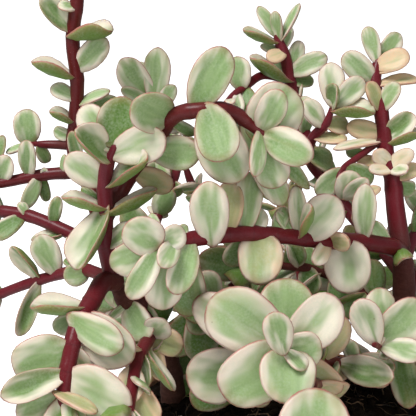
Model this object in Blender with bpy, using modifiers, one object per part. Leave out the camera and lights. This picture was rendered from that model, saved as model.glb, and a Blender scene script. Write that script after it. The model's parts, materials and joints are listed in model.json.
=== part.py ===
"""Potted elephant bush, the cream-edged form of Portulacaria afra, in a plain clay pot.

Two woody trunks and a smaller one at the back stand in a mound of soil. Leafy shoots grow
from them, and each shoot is one solid: its stem joined with its leaves. Millimetres are
turned into metres as the points are read. +Z is up, the front faces -Y, and the origin is
the middle of the pot's flat underside.
"""

import math
import random

import bmesh
import bpy
from mathutils import Vector

MM = 0.001

# The pot, a wide low clay pan (mm).
POT_HEIGHT = 88
RIM_RADIUS = 59
RIM_BAND = 15
RIM_STEP = 3.5
BASE_RADIUS = 45
WALL = 5
FLOOR = 6
DRAIN_RADIUS = 4
DRAIN_CIRCLE = 22
DRAIN_HOLES = 3
POT_SLOPE = (RIM_RADIUS - RIM_STEP - BASE_RADIUS) / (POT_HEIGHT - RIM_BAND)
INNER_FOOT = BASE_RADIUS - WALL + POT_SLOPE * FLOOR
TURN_STEPS = 36

# The soil, a mound that hides the rim from the front (mm).
SOIL_TOP = 96
SOIL_EDGE = 85.5
SOIL_FLAT_RADIUS = 26
SOIL_CLEARANCE = 0.4
SOIL_CURVE = 1.6
SOIL_RINGS = 5

# Stems and leaves.
STEM_SIDES = 6
STEM_STEP = 10
LEAF_SIDES = 6
LEAF_THICKNESS = 2.2
LEAF_BASE = 0.45
LEAF_WIDEST = 0.62
SEED = 7

# Clearances (mm): between touching solids, between leaves and the pot, and how close two
# stems, a leaf and a stem, or two leaves have to be before one is cut to fit the other.
GAP = 0.35
STAND_OFF = 1.5
STEM_REACH = 9
LEAF_STEM_REACH = 8
LEAF_REACH = 12
WELD = 0.002

FRONT = Vector((0, -1, 0))

# Each shoot: what it grows from, its thickness at the foot and at the tip, and its route (mm).
STEMS = {
    "left_trunk": (None, 9, 6, [
        (-39, -4, 84), (-41, -8, 104), (-47, -14, 119), (-54, -20, 130), (-59, -24, 140)]),
    "right_trunk": (None, 9, 7, [
        (36, 4, 82), (39, 6, 105), (39, 4, 124), (38, 2, 138), (37, 2, 147)]),
    "back_trunk": (None, 8, 6, [
        (4, 24, 82), (6, 30, 104), (8, 36, 119)]),
    "centre_shoot": ("left_trunk", 4.6, 3.6, [
        (-58, -23, 138), (-60, -26, 149), (-60, -27, 163), (-60, -28, 171), (-59, -30, 177),
        (-56, -34, 184)]),
    "front_drooping_shoot": ("left_trunk", 5.6, 4.2, [
        (-57, -23, 138), (-61, -28, 139), (-64, -36, 135), (-68, -43, 129), (-70, -48, 120),
        (-71, -50, 115), (-72, -52, 107), (-73, -54, 96), (-74, -54, 82)]),
    "lower_left_shoot": ("left_trunk", 4.6, 2.8, [
        (-43, -10, 110), (-47, -20, 113), (-49, -32, 114), (-51, -44, 113), (-51, -56, 107),
        (-50, -64, 96), (-48, -68, 84)]),
    "arching_shoot": ("centre_shoot", 5, 4.4, [
        (-60, -27, 161), (-51, -25, 170), (-45, -28, 178), (-41, -33, 187), (-37, -37, 193),
        (-31, -39, 195), (-24, -38, 195), (-19, -36, 193), (-14, -35, 189), (-9, -36, 186)]),
    "long_level_shoot": ("right_trunk", 6, 4.6, [
        (37, 2, 141), (33, -6, 145), (21, -15, 149), (10, -22, 151), (-3, -28, 154),
        (-16, -33, 156), (-28, -38, 156), (-38, -43, 156), (-43, -48, 156)]),
    "tall_right_shoot": ("right_trunk", 5.2, 2.4, [
        (37, 2, 143), (35, 3, 156), (34, 5, 166), (32, 6, 173), (31, 8, 181), (30, 10, 189),
        (28, 12, 197), (29, 14, 204), (29, 15, 209)]),
    "far_right_shoot": ("right_trunk", 4.4, 2.8, [
        (38, 4, 134), (43, 14, 143), (50, 20, 152), (60, 26, 166), (68, 30, 184),
        (72, 32, 200)]),
    "back_tall_shoot": ("right_trunk", 4.6, 3, [
        (39, 6, 132), (30, 24, 142), (21, 32, 151), (12, 38, 164), (6, 41, 179), (2, 42, 193),
        (0, 42, 202), (-3, 42, 210), (-4, 42, 215)]),
    "back_side_shoot": ("back_tall_shoot", 3.4, 2.4, [
        (2, 42, 197), (-9, 38, 198), (-15, 34, 195), (-20, 30, 192), (-23, 26, 190)]),
    "middle_shoot": ("back_tall_shoot", 3.8, 3.2, [
        (17, 35, 157), (9, 28, 166), (7, 20, 173), (8, 14, 179), (12, 11, 184), (14, 9, 191)]),
    "thin_right_shoot": ("tall_right_shoot", 2.6, 2, [
        (33, 6, 172), (24, 2, 175), (16, -2, 171), (14, -4, 167), (17, -6, 160)]),
    "left_lowest_shoot": ("left_trunk", 4.4, 3, [
        (-58, -22, 138), (-69, -8, 138), (-77, 2, 134), (-89, 8, 129), (-101, 14, 123),
        (-111, 18, 117), (-118, 20, 108)]),
    "tall_left_shoot": ("left_trunk", 5, 3.4, [
        (-58, -22, 137), (-64, 6, 147), (-69, 20, 159), (-75, 25, 172), (-74, 24, 184),
        (-73, 22, 197), (-74, 20, 211), (-72, 18, 225), (-71, 16, 237), (-70, 15, 246)]),
    "left_top_shoot": ("tall_left_shoot", 3.6, 2.6, [
        (-75, 25, 174), (-81, 27, 174), (-87, 28, 174), (-93, 30, 174)]),
    "left_upper_shoot": ("tall_left_shoot", 3.8, 3, [
        (-71, 22, 165), (-78, 21, 165), (-87, 22, 164), (-101, 24, 161), (-112, 27, 161),
        (-120, 29, 164)]),
    "left_lower_shoot": ("tall_left_shoot", 3.8, 3, [
        (-64, 2, 145), (-70, 4, 145), (-76, 8, 147), (-89, 14, 151), (-100, 18, 152),
        (-112, 22, 151), (-120, 24, 146)]),
    "back_left_shoot": ("left_trunk", 4, 2.6, [
        (-50, -17, 125), (-47, 0, 146), (-43, 10, 158), (-39, 18, 166), (-40, 30, 175),
        (-47, 42, 185), (-51, 46, 194)]),
    "front_rosette_shoot": ("right_trunk", 4.6, 3.6, [
        (38, 5, 103), (19, -10, 106), (4, -30, 115), (-8, -51, 126)]),
    "right_rosette_shoot": ("right_trunk", 4.2, 3.2, [
        (39, 5, 109), (34, -14, 115), (27, -37, 124)]),
    "inner_shoot": ("right_trunk", 3.8, 2.6, [
        (39, 5, 119), (25, 10, 126), (7, 8, 134), (-10, 2, 136), (-22, -6, 130),
        (-28, -16, 130), (-32, -24, 135)]),
    "front_spilling_shoot": (None, 4.4, 2.8, [
        (15, -14, 84), (9, -30, 103), (4, -46, 112), (3, -58, 109), (2, -68, 100),
        (0, -76, 84), (-2, -80, 66)]),
    "low_front_shoot": (None, 4, 3.2, [
        (-17, -10, 84), (-18, -22, 100), (-19, -36, 116)]),
    "back_upright_shoot": ("back_trunk", 4.6, 3, [
        (8, 36, 116), (4, 44, 136), (-2, 52, 154), (-3, 56, 170)]),
    "back_left_upright": ("back_trunk", 4.4, 2.8, [
        (8, 36, 116), (-16, 46, 132), (-31, 51, 149), (-38, 56, 165)]),
    "back_right_upright": ("right_trunk", 4.4, 2.8, [
        (39, 5, 121), (52, 30, 137), (62, 46, 154), (68, 56, 172)]),
    "back_middle_shoot": ("back_trunk", 4, 2.8, [
        (7, 33, 110), (20, 46, 124), (28, 54, 138)]),
    "back_left_spill": ("back_trunk", 4.6, 2.8, [
        (6, 33, 111), (-20, 52, 112), (-45, 68, 111), (-62, 82, 102), (-72, 92, 86),
        (-77, 97, 66)]),
    "back_centre_spill": ("back_trunk", 4.6, 2.8, [
        (8, 36, 115), (13, 58, 118), (14, 80, 111), (14, 92, 95), (13, 98, 77), (12, 102, 58)]),
    "back_right_spill": ("right_trunk", 4.6, 2.8, [
        (39, 6, 113), (48, 34, 118), (62, 56, 113), (73, 72, 97), (79, 80, 77),
        (82, 84, 56)]),
    "back_low_spill": ("back_trunk", 4.4, 2.8, [
        (7, 33, 107), (24, 56, 112), (38, 76, 107), (48, 88, 90), (52, 92, 70)]),
    "left_back_spill": ("left_trunk", 4.4, 2.8, [
        (-43, -10, 112), (-52, 14, 117), (-64, 36, 109), (-72, 50, 91), (-76, 56, 70)]),
    "right_low_spill": ("right_trunk", 4.6, 2.8, [
        (39, 5, 106), (60, -2, 113), (80, -10, 104), (92, -16, 85), (96, -20, 64)]),
    "right_front_spill": ("right_trunk", 4.6, 2.8, [
        (38, 5, 112), (50, -24, 117), (63, -42, 109), (72, -54, 92), (76, -60, 72)]),
}

# Leaves set by eye: distance along the stem, place of the leaf's tip, width, and how far the
# leaf is turned about its own length from facing the front (mm and degrees).
LEAVES = {
    "left_trunk": [
        (43, (-47, -29, 122), 10, 0), (52, (-60, -28, 127), 3, 0)],
    "right_trunk": [
        (20, (42, -15, 99), 11, 0)],
    "centre_shoot": [
        (46, (-65, -34, 194), 9, -10), (46, (-52, -30, 198), 9, 10), (46, (-50, -26, 200), 7, 0),
        (43, (-69, -39, 189), 8, -40), (43, (-41, -38, 187), 9, 35), (34, (-70, -32, 180), 9, -10),
        (33, (-47, -33, 179), 8, 60), (34, (-44, -23, 179), 5, 30), (24, (-72, -32, 168), 7, -55),
        (23, (-43, -31, 168), 7, 65), (8, (-63, -32, 163), 9, 20), (13, (-51, -31, 158), 7, 40),
        (26, (-68, -21, 168), 4, 0)],
    "front_drooping_shoot": [
        (16, (-81, -41, 135), 8, -45), (19, (-76, -35, 125), 6, 0), (22, (-54, -49, 126), 10, 8),
        (21, (-55, -45, 116), 13, 0), (32, (-64, -44, 115), 6, 0), (32, (-87, -48, 119), 13, -5),
        (40, (-89, -57, 112), 8, -30), (47, (-85, -55, 105), 10, -10),
        (46, (-58, -60, 109), 7, 40), (41, (-52, -54, 105), 18, 0), (39, (-48, -46, 110), 11, 0),
        (20, (-48, -34, 116), 8, 0)],
    "lower_left_shoot": [
        (16, (-36, -27, 117), 9, 10), (15, (-43, -29, 107), 6, 0), (25, (-40, -36, 105), 5, 40),
        (42, (-44, -51, 101), 9, 0)],
    "arching_shoot": [
        (42, (-50, -44, 197), 12, 0), (51, (-27, -39, 214), 13, 0), (58, (-27, -46, 181), 13, 0),
        (61, (-23, -37, 172), 14, 0), (31, (-30, -32, 181), 10, 10), (43, (-32, -33, 187), 4, 0),
        (39, (-35, -31, 189), 4, 0), (72, (-7, -41, 201), 9, 0), (72, (-14, -43, 177), 6, 50),
        (70, (-6, -34, 202), 17, 0), (69, (4, -42, 184), 13, 0), (67, (-8, -41, 171), 11, 0),
        (65, (-5, -31, 165), 9, 0), (66, (3, -30, 170), 6, 20), (63, (-15, -30, 181), 5, 10),
        (62, (-17, -26, 183), 7, 0)],
    "long_level_shoot": [
        (24, (22, -18, 168), 8, 12), (11, (27, 0, 152), 5, 0), (49, (-1, -30, 170), 7, 0),
        (48, (12, -29, 166), 12, 5), (51, (-7, -29, 162), 4, -40), (50, (5, -36, 164), 4, 50),
        (64, (-10, -42, 142), 14, 0), (38, (16, -30, 153), 7, 0), (38, (5, -31, 146), 6, 0),
        (33, (18, -25, 135), 15, 0), (66, (-22, -28, 145), 7, 0), (79, (-27, -45, 174), 11, 0),
        (74, (-21, -33, 171), 7, 0), (68, (-13, -31, 167), 8, 0), (58, (-4, -27, 163), 5, 0),
        (4, (35, -14, 144), 7, 0), (98, (-54, -50, 160), 11, 0), (97, (-36, -45, 160), 7, 0),
        (97, (-42, -54, 149), 6, -20), (86, (-37, -46, 140), 8, 0), (96, (-57, -44, 148), 11, 0),
        (97, (-51, -53, 141), 8, 0), (95, (-40, -43, 136), 10, 0), (92, (-33, -36, 138), 10, 0),
        (97, (-45, -42, 164), 4, 0), (94, (-34, -40, 160), 4, 0)],
    "tall_right_shoot": [
        (63, (25, 14, 216), 6, 0), (64, (35, 19, 213), 6, 0), (62, (38, 10, 203), 6, 30),
        (56, (43, 12, 199), 7, 60), (55, (17, 9, 207), 8, -10), (47, (24, 6, 196), 6, -40),
        (47, (34, 6, 198), 6, 40), (38, (43, 11, 188), 8, 0), (37, (43, 6, 180), 7, 70),
        (26, (27, 2, 176), 5, 0), (25, (40, 2, 176), 6, 20), (24, (43, 4, 170), 6, 30),
        (23, (39, -2, 172), 4, 60), (23, (25, -2, 170), 4, -60), (21, (42, 7, 162), 6, 0),
        (21, (26, 7, 163), 5, 0), (28, (22, 5, 172), 5, -30), (37, (14, 2, 177), 5, -75),
        (39, (19, 10, 183), 7, -10)],
    "far_right_shoot": [
        (24, (41, 17, 160), 6, 0), (16, (45, 12, 156), 5, 0)],
    "back_tall_shoot": [
        (104, (-9, 44, 221), 6, 0), (102, (-4, 39, 220), 5, 35), (102, (5, 40, 222), 5, 60),
        (100, (-16, 38, 213), 7, -55), (99, (2, 46, 214), 4, 0), (98, (-9, 45, 207), 4, -40),
        (94, (-8, 38, 203), 6, -50), (88, (5, 45, 209), 6, 0), (86, (14, 39, 205), 8, 20),
        (86, (10, 45, 193), 6, 30), (86, (-14, 37, 201), 7, -65), (90, (-6, 47, 203), 5, 0)],
    "back_side_shoot": [
        (21, (-17, 35, 205), 8, 0), (20, (-13, 29, 185), 7, -10), (24, (-18, 26, 185), 5, 20),
        (29, (-18, 23, 192), 3, 30)],
    "middle_shoot": [
        (46, (13, 11, 203), 9, 0), (46, (23, 9, 199), 8, 0), (46, (13, 5, 198), 4, 60),
        (45, (26, 3, 189), 8, 60), (46, (25, 14, 192), 4, 80), (39, (4, 8, 191), 7, -20),
        (38, (4, 16, 192), 6, 0), (33, (21, 10, 178), 7, 55), (40, (20, 16, 182), 7, 30),
        (24, (16, 23, 167), 9, 40)],
    "thin_right_shoot": [
        (10, (18, 6, 175), 7, 0), (20, (9, -4, 164), 6, 0), (19, (27, 3, 166), 7, 20),
        (31, (19, -9, 171), 9, 0), (31, (23, -13, 169), 6, 0), (31, (29, -2, 164), 4, 20)],
    "left_lowest_shoot": [
        (37, (-83, 2, 146), 9, 0), (43, (-93, 4, 144), 7, 30), (41, (-94, 2, 113), 6, 25),
        (16, (-75, -12, 136), 7, 0), (20, (-76, -2, 140), 4, -40)],
    "tall_left_shoot": [
        (104, (-83, 17, 227), 10, -25), (116, (-78, 15, 223), 5, -50),
        (102, (-60, 13, 216), 8, 100), (90, (-63, 17, 211), 9, 0), (88, (-88, 18, 205), 7, -80),
        (80, (-83, 25, 197), 6, -20), (77, (-63, 20, 193), 6, 50), (76, (-59, 27, 189), 8, 10),
        (70, (-83, 22, 186), 5, -60), (64, (-81, 31, 180), 4, 0), (59, (-75, 20, 180), 5, 0)],
    "left_top_shoot": [
        (17, (-92, 30, 186), 10, 0), (13, (-85, 30, 167), 5, 0), (17, (-99, 27, 171), 4, -60)],
    "left_upper_shoot": [
        (20, (-90, 17, 177), 7, 15), (16, (-79, 20, 168), 3, 60), (31, (-98, 20, 171), 8, 0),
        (36, (-100, 28, 177), 6, 20), (16, (-92, 18, 153), 6, 20), (15, (-85, 25, 154), 4, 10),
        (33, (-106, 24, 155), 5, 0), (8, (-77, 18, 173), 4, 40)],
    "left_lower_shoot": [
        (20, (-79, 8, 159), 5, 0), (31, (-102, 12, 144), 7, -20), (30, (-93, 14, 156), 4, -40),
        (14, (-86, 11, 144), 4, -70), (10, (-75, 6, 153), 4, 0)],
    "back_left_shoot": [
        (90, (-60, 44, 203), 9, 0), (88, (-45, 45, 207), 8, 0), (90, (-53, 51, 201), 5, 0),
        (90, (-59, 41, 192), 5, 0), (86, (-53, 49, 184), 5, 0), (87, (-40, 42, 193), 6, 0),
        (62, (-51, 14, 163), 9, 0), (52, (-34, 15, 161), 7, 0)],
    "front_rosette_shoot": [
        (72, (-27, -48, 138), 18, 0), (72, (-5, -43, 146), 17, 0), (72, (10, -47, 139), 16, 0),
        (72, (-7, -58, 139), 9, 0), (70, (6, -51, 125), 11, 0), (71, (1, -56, 119), 5, 50),
        (72, (-6, -60, 111), 14, 0), (71, (-27, -54, 114), 17, 0), (54, (16, -25, 115), 5, 40)],
    "right_rosette_shoot": [
        (44, (19, -39, 137), 9, 0), (44, (26, -31, 138), 10, 0), (43, (38, -37, 135), 14, 0),
        (42, (38, -41, 120), 6, 40), (43, (30, -43, 112), 9, 30), (40, (33, -32, 105), 6, 0),
        (34, (39, -25, 113), 5, 0)],
    "inner_shoot": [
        (87, (-34, -24, 125), 11, 0), (43, (2, 3, 144), 8, 0), (34, (6, 10, 142), 9, 0),
        (19, (21, 4, 117), 10, 0), (11, (28, 8, 137), 9, 0), (26, (17, 5, 122), 8, 0),
        (38, (8, 4, 126), 8, 0), (57, (-21, -3, 138), 7, 0), (78, (-29, -19, 140), 9, 0),
        (79, (-33, -22, 121), 10, 0), (54, (-11, -3, 128), 7, 0)],
    "front_spilling_shoot": [
        (47, (7, -64, 98), 19, 0), (38, (16, -36, 106), 8, -20), (34, (0, -36, 115), 8, 0)],
    "low_front_shoot": [
        (34, (-34, -37, 113), 16, 0), (22, (-8, -27, 99), 6, 0), (22, (-34, -25, 100), 11, 0),
        (33, (-14, -29, 104), 9, 0)],
}

# Leaf pairs set by rule: distance of the first pair along the stem, spacing of the pairs, and
# length of the first and the last leaves (mm).
PAIRS = {
    "front_drooping_shoot": (58, 8, 15, 9),
    "lower_left_shoot": (52, 8, 13, 8),
    "tall_left_shoot": (124, 7, 13, 7),
    "left_upper_shoot": (40, 7, 13, 7),
    "left_lower_shoot": (40, 7, 13, 7),
    "left_lowest_shoot": (54, 7, 14, 7),
    "far_right_shoot": (36, 8, 15, 7),
    "front_spilling_shoot": (56, 8, 15, 8),
    "back_upright_shoot": (16, 8, 14, 8),
    "back_left_upright": (16, 10, 15, 8),
    "back_right_upright": (16, 10, 15, 8),
    "back_middle_shoot": (14, 9, 13, 8),
    "back_left_spill": (24, 11, 16, 9),
    "back_centre_spill": (18, 11, 16, 9),
    "back_right_spill": (22, 11, 16, 9),
    "back_low_spill": (24, 11, 16, 9),
    "left_back_spill": (18, 11, 16, 9),
    "right_low_spill": (18, 11, 16, 9),
    "right_front_spill": (20, 11, 16, 9),
}
PAIR_WIDTH = 0.72
PAIR_LEAN = 38
TIP_LEAN = 62

COLOURS = {
    "clay": ((0.62, 0.30, 0.18), 0.85),
    "soil": ((0.02, 0.015, 0.01), 1.0),
    "bark": ((0.10, 0.05, 0.04), 0.8),
    "shoot": ((0.45, 0.55, 0.34), 0.45),
}


def smooth_route(points, step):
    """Points about step apart on a Catmull-Rom curve through the given ones, in metres."""
    knots = [Vector(p) * MM for p in points]
    ends = [2 * knots[0] - knots[1]] + knots + [2 * knots[-1] - knots[-2]]
    route = [knots[0]]
    for before, start, end, after in zip(ends, ends[1:], ends[2:], ends[3:]):
        parts = max(1, round((end - start).length / (step * MM)))
        for part in range(1, parts + 1):
            t = part / parts
            route.append(0.5 * (2 * start + (end - before) * t
                                + (2 * before - 5 * start + 4 * end - after) * t ** 2
                                + (3 * start - before - 3 * end + after) * t ** 3))
    return route


def place_on(route, along):
    """The point and the direction of the stem at a distance along its route, in metres."""
    for start, end in zip(route, route[1:]):
        run = (end - start).length
        if along <= run or end is route[-1]:
            heading = (end - start).normalized()
            return start + heading * min(along, run - LEAF_THICKNESS / 4 * MM), heading
        along -= run


def soil_height(radius):
    """Height of the soil's surface at a distance from the pot's axis, in mm."""
    reach = RIM_RADIUS - WALL
    share = min(1, max(0, (radius - SOIL_FLAT_RADIUS) / (reach - SOIL_FLAT_RADIUS)))
    return SOIL_TOP - (SOIL_TOP - SOIL_EDGE) * share ** SOIL_CURVE


def meets_pot(points):
    """Whether any of the points lies in the pot, in the soil or just above them."""
    for point in points:
        radius = math.hypot(point.x, point.y) / MM
        height = point.z / MM - STAND_OFF
        if radius < RIM_RADIUS - WALL and height < soil_height(radius):
            return True
        if radius < RIM_RADIUS + STAND_OFF and height < POT_HEIGHT:
            return True
    return False


def set_leaf(route, along, tip, width, turn):
    """A leaf set by eye, as its base, the way it points, its face, its length and its width."""
    base, _ = place_on(route, along * MM)
    way = Vector(tip) * MM - base
    length = way.length
    way.normalize()
    facing = (FRONT - way * FRONT.dot(way)).normalized()
    across = facing.cross(way)
    face = facing * math.cos(math.radians(turn)) + across * math.sin(math.radians(turn))
    return base, way, face, length, width * MM


def pair_leaves(route, first, spacing, longest, shortest, chance):
    """Opposite leaves along a stem, each pair a quarter turn from the last one."""
    whole = sum((b - a).length for a, b in zip(route, route[1:])) / MM
    count = max(1, int((whole - first) / spacing)) + 1
    leaves = []
    for pair in range(count):
        share = pair / max(1, count - 1)
        base, heading = place_on(route, min(first + pair * spacing, whole - 1) * MM)
        level = heading.cross(Vector((0, 0, 1))).normalized()
        upright = level.cross(heading)
        roll = math.radians(45 + 90 * pair + chance.uniform(-20, 20))
        lean = math.radians(PAIR_LEAN + (TIP_LEAN - PAIR_LEAN) * share ** 3)
        length = (longest + (shortest - longest) * share) * chance.uniform(0.85, 1.15) * MM
        for side in (0, math.pi):
            out = level * math.cos(roll + side) + upright * math.sin(roll + side)
            way = (out * math.cos(lean) + heading * math.sin(lean)).normalized()
            face = (heading - way * heading.dot(way)).normalized()
            if not meets_pot([base + way * length * part for part in (0.4, 0.7, 1)]):
                leaves.append((base, way, face, length, length * PAIR_WIDTH))
    return leaves


def grow_leaves(name, route):
    """Every leaf of one shoot."""
    leaves = [set_leaf(route, *row) for row in LEAVES.get(name, [])]
    if name in PAIRS:
        chance = random.Random(f"{SEED} {name}")
        leaves += pair_leaves(route, *PAIRS[name], chance)
    return leaves


def add_leaf(mesh, leaf, extra=0):
    """Adds one leaf to a bmesh: a flat lens, narrow at its base and round at its tip."""
    base, way, face, length, width = leaf
    across = face.cross(way)
    made = bmesh.ops.create_uvsphere(mesh, u_segments=LEAF_SIDES, v_segments=2, radius=1)
    for vert in made["verts"]:
        x, y, z = vert.co
        share = (1 + x) / 2
        narrowing = LEAF_BASE + (1 - LEAF_BASE) * math.sin(math.pi / 2 * min(1, share / LEAF_WIDEST))
        along = share * length + x * extra
        side = y * narrowing * (width / 2 + extra)
        height = z * (LEAF_THICKNESS / 2 * MM + extra)
        vert.co = base + way * along + across * side + face * height


def clear_scene():
    for obj in list(bpy.data.objects):
        bpy.data.objects.remove(obj, do_unlink=True)


def new_collection(name):
    collection = bpy.data.collections.new(name)
    bpy.context.scene.collection.children.link(collection)
    return collection


def material(name):
    colour, roughness = COLOURS[name]
    made = bpy.data.materials.new(name)
    made.use_nodes = True
    shader = made.node_tree.nodes["Principled BSDF"]
    shader.inputs["Base Color"].default_value = (*colour, 1)
    shader.inputs["Roughness"].default_value = roughness
    return made


def object_of(mesh, name, collection):
    """A new object from a bmesh."""
    data = bpy.data.meshes.new(name)
    bmesh.ops.recalc_face_normals(mesh, faces=mesh.faces)
    mesh.to_mesh(data)
    mesh.free()
    obj = bpy.data.objects.new(name, data)
    collection.objects.link(obj)
    return obj


def tube(name, route, thick, thin, collection, extra=0):
    """A tapering round tube along a route, as a closed mesh."""
    curve = bpy.data.curves.new(name, "CURVE")
    curve.dimensions = "3D"
    curve.bevel_depth = 1
    curve.bevel_resolution = STEM_SIDES // 2 - 2
    curve.use_fill_caps = True
    spline = curve.splines.new("POLY")
    spline.points.add(len(route) - 1)
    for index, (point, place) in enumerate(zip(spline.points, route)):
        share = index / (len(route) - 1)
        point.co = (*place, 1)
        point.radius = (thick + (thin - thick) * share) / 2 * MM + extra
    guide = bpy.data.objects.new(name, curve)
    collection.objects.link(guide)
    bpy.context.view_layer.update()
    graph = bpy.context.evaluated_depsgraph_get()
    data = bpy.data.meshes.new_from_object(guide.evaluated_get(graph))
    bpy.data.objects.remove(guide)
    bpy.data.curves.remove(curve)
    mesh = bmesh.new()
    mesh.from_mesh(data)
    bpy.data.meshes.remove(data)
    bmesh.ops.remove_doubles(mesh, verts=mesh.verts, dist=WELD * MM)
    return object_of(mesh, name, collection)


def helper(obj):
    obj.hide_render = True
    obj.display_type = "WIRE"
    return obj


def boolean(obj, operation, other):
    modifier = obj.modifiers.new(operation.lower(), "BOOLEAN")
    modifier.operation = operation
    modifier.object = other
    modifier.use_self = True


def near(leaf, places, reach):
    """Whether a leaf comes within reach of any of the places."""
    middle = leaf[0] + leaf[1] * leaf[3] / 2
    return any((middle - place).length < reach + leaf[3] / 2 for place in places)


def settle(obj):
    """Replaces an object's mesh by its evaluated one, keeping only the largest body."""
    bpy.context.view_layer.update()
    graph = bpy.context.evaluated_depsgraph_get()
    data = bpy.data.meshes.new_from_object(obj.evaluated_get(graph))
    mesh = bmesh.new()
    mesh.from_mesh(data)
    bmesh.ops.remove_doubles(mesh, verts=mesh.verts, dist=WELD * MM)
    bodies = []
    unseen = set(mesh.verts)
    while unseen:
        body = []
        edge = [unseen.pop()]
        while edge:
            vert = edge.pop()
            body.append(vert)
            for link in vert.link_edges:
                other = link.other_vert(vert)
                if other in unseen:
                    unseen.remove(other)
                    edge.append(other)
        bodies.append(body)
    bodies.sort(key=len)
    crumbs = [vert for body in bodies[:-1] for vert in body]
    bmesh.ops.delete(mesh, geom=crumbs, context="VERTS")
    mesh.to_mesh(data)
    mesh.free()
    obj.modifiers.clear()
    obj.data = data


def turned(name, profile, collection):
    """A solid turned from a profile of radii and heights, listed from its top to its bottom (mm)."""
    mesh = bmesh.new()
    verts = [mesh.verts.new((radius * MM, 0, height * MM)) for radius, height in profile]
    for start, end in zip(verts, verts[1:]):
        mesh.edges.new((start, end))
    data = bpy.data.meshes.new(name)
    mesh.to_mesh(data)
    mesh.free()
    obj = bpy.data.objects.new(name, data)
    collection.objects.link(obj)
    turn = obj.modifiers.new("turn", "SCREW")
    turn.steps = turn.render_steps = TURN_STEPS
    turn.use_merge_vertices = True
    turn.merge_threshold = 0.0001
    return obj


def make_pot(parts, guides):
    """The clay pan: a turned wall and floor with a thicker rim band and drain holes."""
    inside = [
        (0, FLOOR), (INNER_FOOT - 3, FLOOR), (INNER_FOOT, FLOOR + 3),
        (RIM_RADIUS - WALL, POT_HEIGHT - 1), (RIM_RADIUS - WALL + 1, POT_HEIGHT)]
    band = [
        (RIM_RADIUS - 1.2, POT_HEIGHT), (RIM_RADIUS, POT_HEIGHT - 1.2),
        (RIM_RADIUS - 0.8, POT_HEIGHT - RIM_BAND), (RIM_RADIUS - 1.8, POT_HEIGHT - RIM_BAND - 1)]
    outside = [
        (RIM_RADIUS - RIM_STEP, POT_HEIGHT - RIM_BAND - 1), (BASE_RADIUS + 0.4, 1.2),
        (BASE_RADIUS - 0.8, 0), (0, 0)]
    pot = turned("pot", inside + band + outside, parts)
    for hole in range(DRAIN_HOLES):
        angle = 2 * math.pi * hole / DRAIN_HOLES + math.pi / 2
        bpy.ops.mesh.primitive_cylinder_add(vertices=16, radius=DRAIN_RADIUS * MM,
                                            depth=4 * FLOOR * MM,
                                            location=(DRAIN_CIRCLE * MM * math.cos(angle),
                                                      DRAIN_CIRCLE * MM * math.sin(angle), 0))
        cutter = helper(bpy.context.object)
        cutter.name = f"drain_hole_{hole + 1}"
        for collection in cutter.users_collection:
            collection.objects.unlink(cutter)
        guides.objects.link(cutter)
        cut = pot.modifiers.new(cutter.name, "BOOLEAN")
        cut.operation = "DIFFERENCE"
        cut.object = cutter
    return pot


def make_soil(parts, guides, routes):
    """The mound of soil, cut around every stem that stands in it."""
    run = RIM_RADIUS - WALL - SOIL_CLEARANCE - SOIL_FLAT_RADIUS
    rings = [SOIL_FLAT_RADIUS + run * ring / SOIL_RINGS for ring in range(SOIL_RINGS + 1)]
    mound = [(0, SOIL_TOP)] + [(radius, soil_height(radius)) for radius in rings]
    bottom = [
        (INNER_FOOT - 0.7, FLOOR + 5), (INNER_FOOT - 3.5, FLOOR + SOIL_CLEARANCE),
        (0, FLOOR + SOIL_CLEARANCE)]
    soil = turned("soil", mound + bottom, parts)
    for name, (parent, thick, thin, _) in STEMS.items():
        if parent is None:
            hole = tube(f"{name}_hole", routes[name], thick, thin, guides, GAP * MM)
            cut = soil.modifiers.new(name, "BOOLEAN")
            cut.operation = "DIFFERENCE"
            cut.object = helper(hole)
    return soil


def make_shoot(name, routes, leaves, parts, guides):
    """One shoot: its stem, seated on the stem that it grows from, joined with its leaves."""
    _, thick, thin, _ = STEMS[name]
    earlier = list(STEMS)[:list(STEMS).index(name)]
    shoot = tube(name, routes[name], thick, thin, parts)
    for other in earlier:
        reach = STEM_REACH * MM
        if any((a - b).length < reach for a in routes[name] for b in routes[other]):
            seat = tube(f"{name}_seat", routes[other], *STEMS[other][1:3], guides, GAP * MM)
            boolean(shoot, "DIFFERENCE", helper(seat))
    if not leaves[name]:
        settle(shoot)
        return shoot
    mesh = bmesh.new()
    for leaf in leaves[name]:
        add_leaf(mesh, leaf)
    foliage = helper(object_of(mesh, f"{name}_leaves", guides))
    middles = [leaf[0] + leaf[1] * leaf[3] / 2 for leaf in leaves[name]]
    for other in STEMS:
        reach = LEAF_STEM_REACH * MM
        if other != name and any(near(leaf, routes[other], reach) for leaf in leaves[name]):
            room = tube(f"{name}_room", routes[other], *STEMS[other][1:3], guides, GAP * MM)
            boolean(foliage, "DIFFERENCE", helper(room))
    crowd = bmesh.new()
    for other in earlier:
        for leaf in leaves[other]:
            if near(leaf, middles, LEAF_REACH * MM):
                add_leaf(crowd, leaf, GAP * MM)
    if crowd.verts:
        boolean(foliage, "DIFFERENCE", helper(object_of(crowd, f"{name}_crowd", guides)))
    else:
        crowd.free()
    boolean(shoot, "UNION", foliage)
    settle(shoot)
    return shoot


def paint(obj, surface):
    obj.data.materials.clear()
    obj.data.materials.append(surface)


def main():
    clear_scene()
    parts = new_collection("potted_elephant_bush")
    guides = new_collection("guides")
    surfaces = {name: material(name) for name in COLOURS}
    routes = {name: smooth_route(stem[3], STEM_STEP) for name, stem in STEMS.items()}
    leaves = {name: grow_leaves(name, routes[name]) for name in STEMS}
    paint(make_pot(parts, guides), surfaces["clay"])
    paint(make_soil(parts, guides, routes), surfaces["soil"])
    for name in STEMS:
        shoot = make_shoot(name, routes, leaves, parts, guides)
        paint(shoot, surfaces["shoot" if leaves[name] else "bark"])
        shoot.data.shade_smooth()
        shoot.data.set_sharp_from_angle(angle=math.radians(50))


main()
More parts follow.
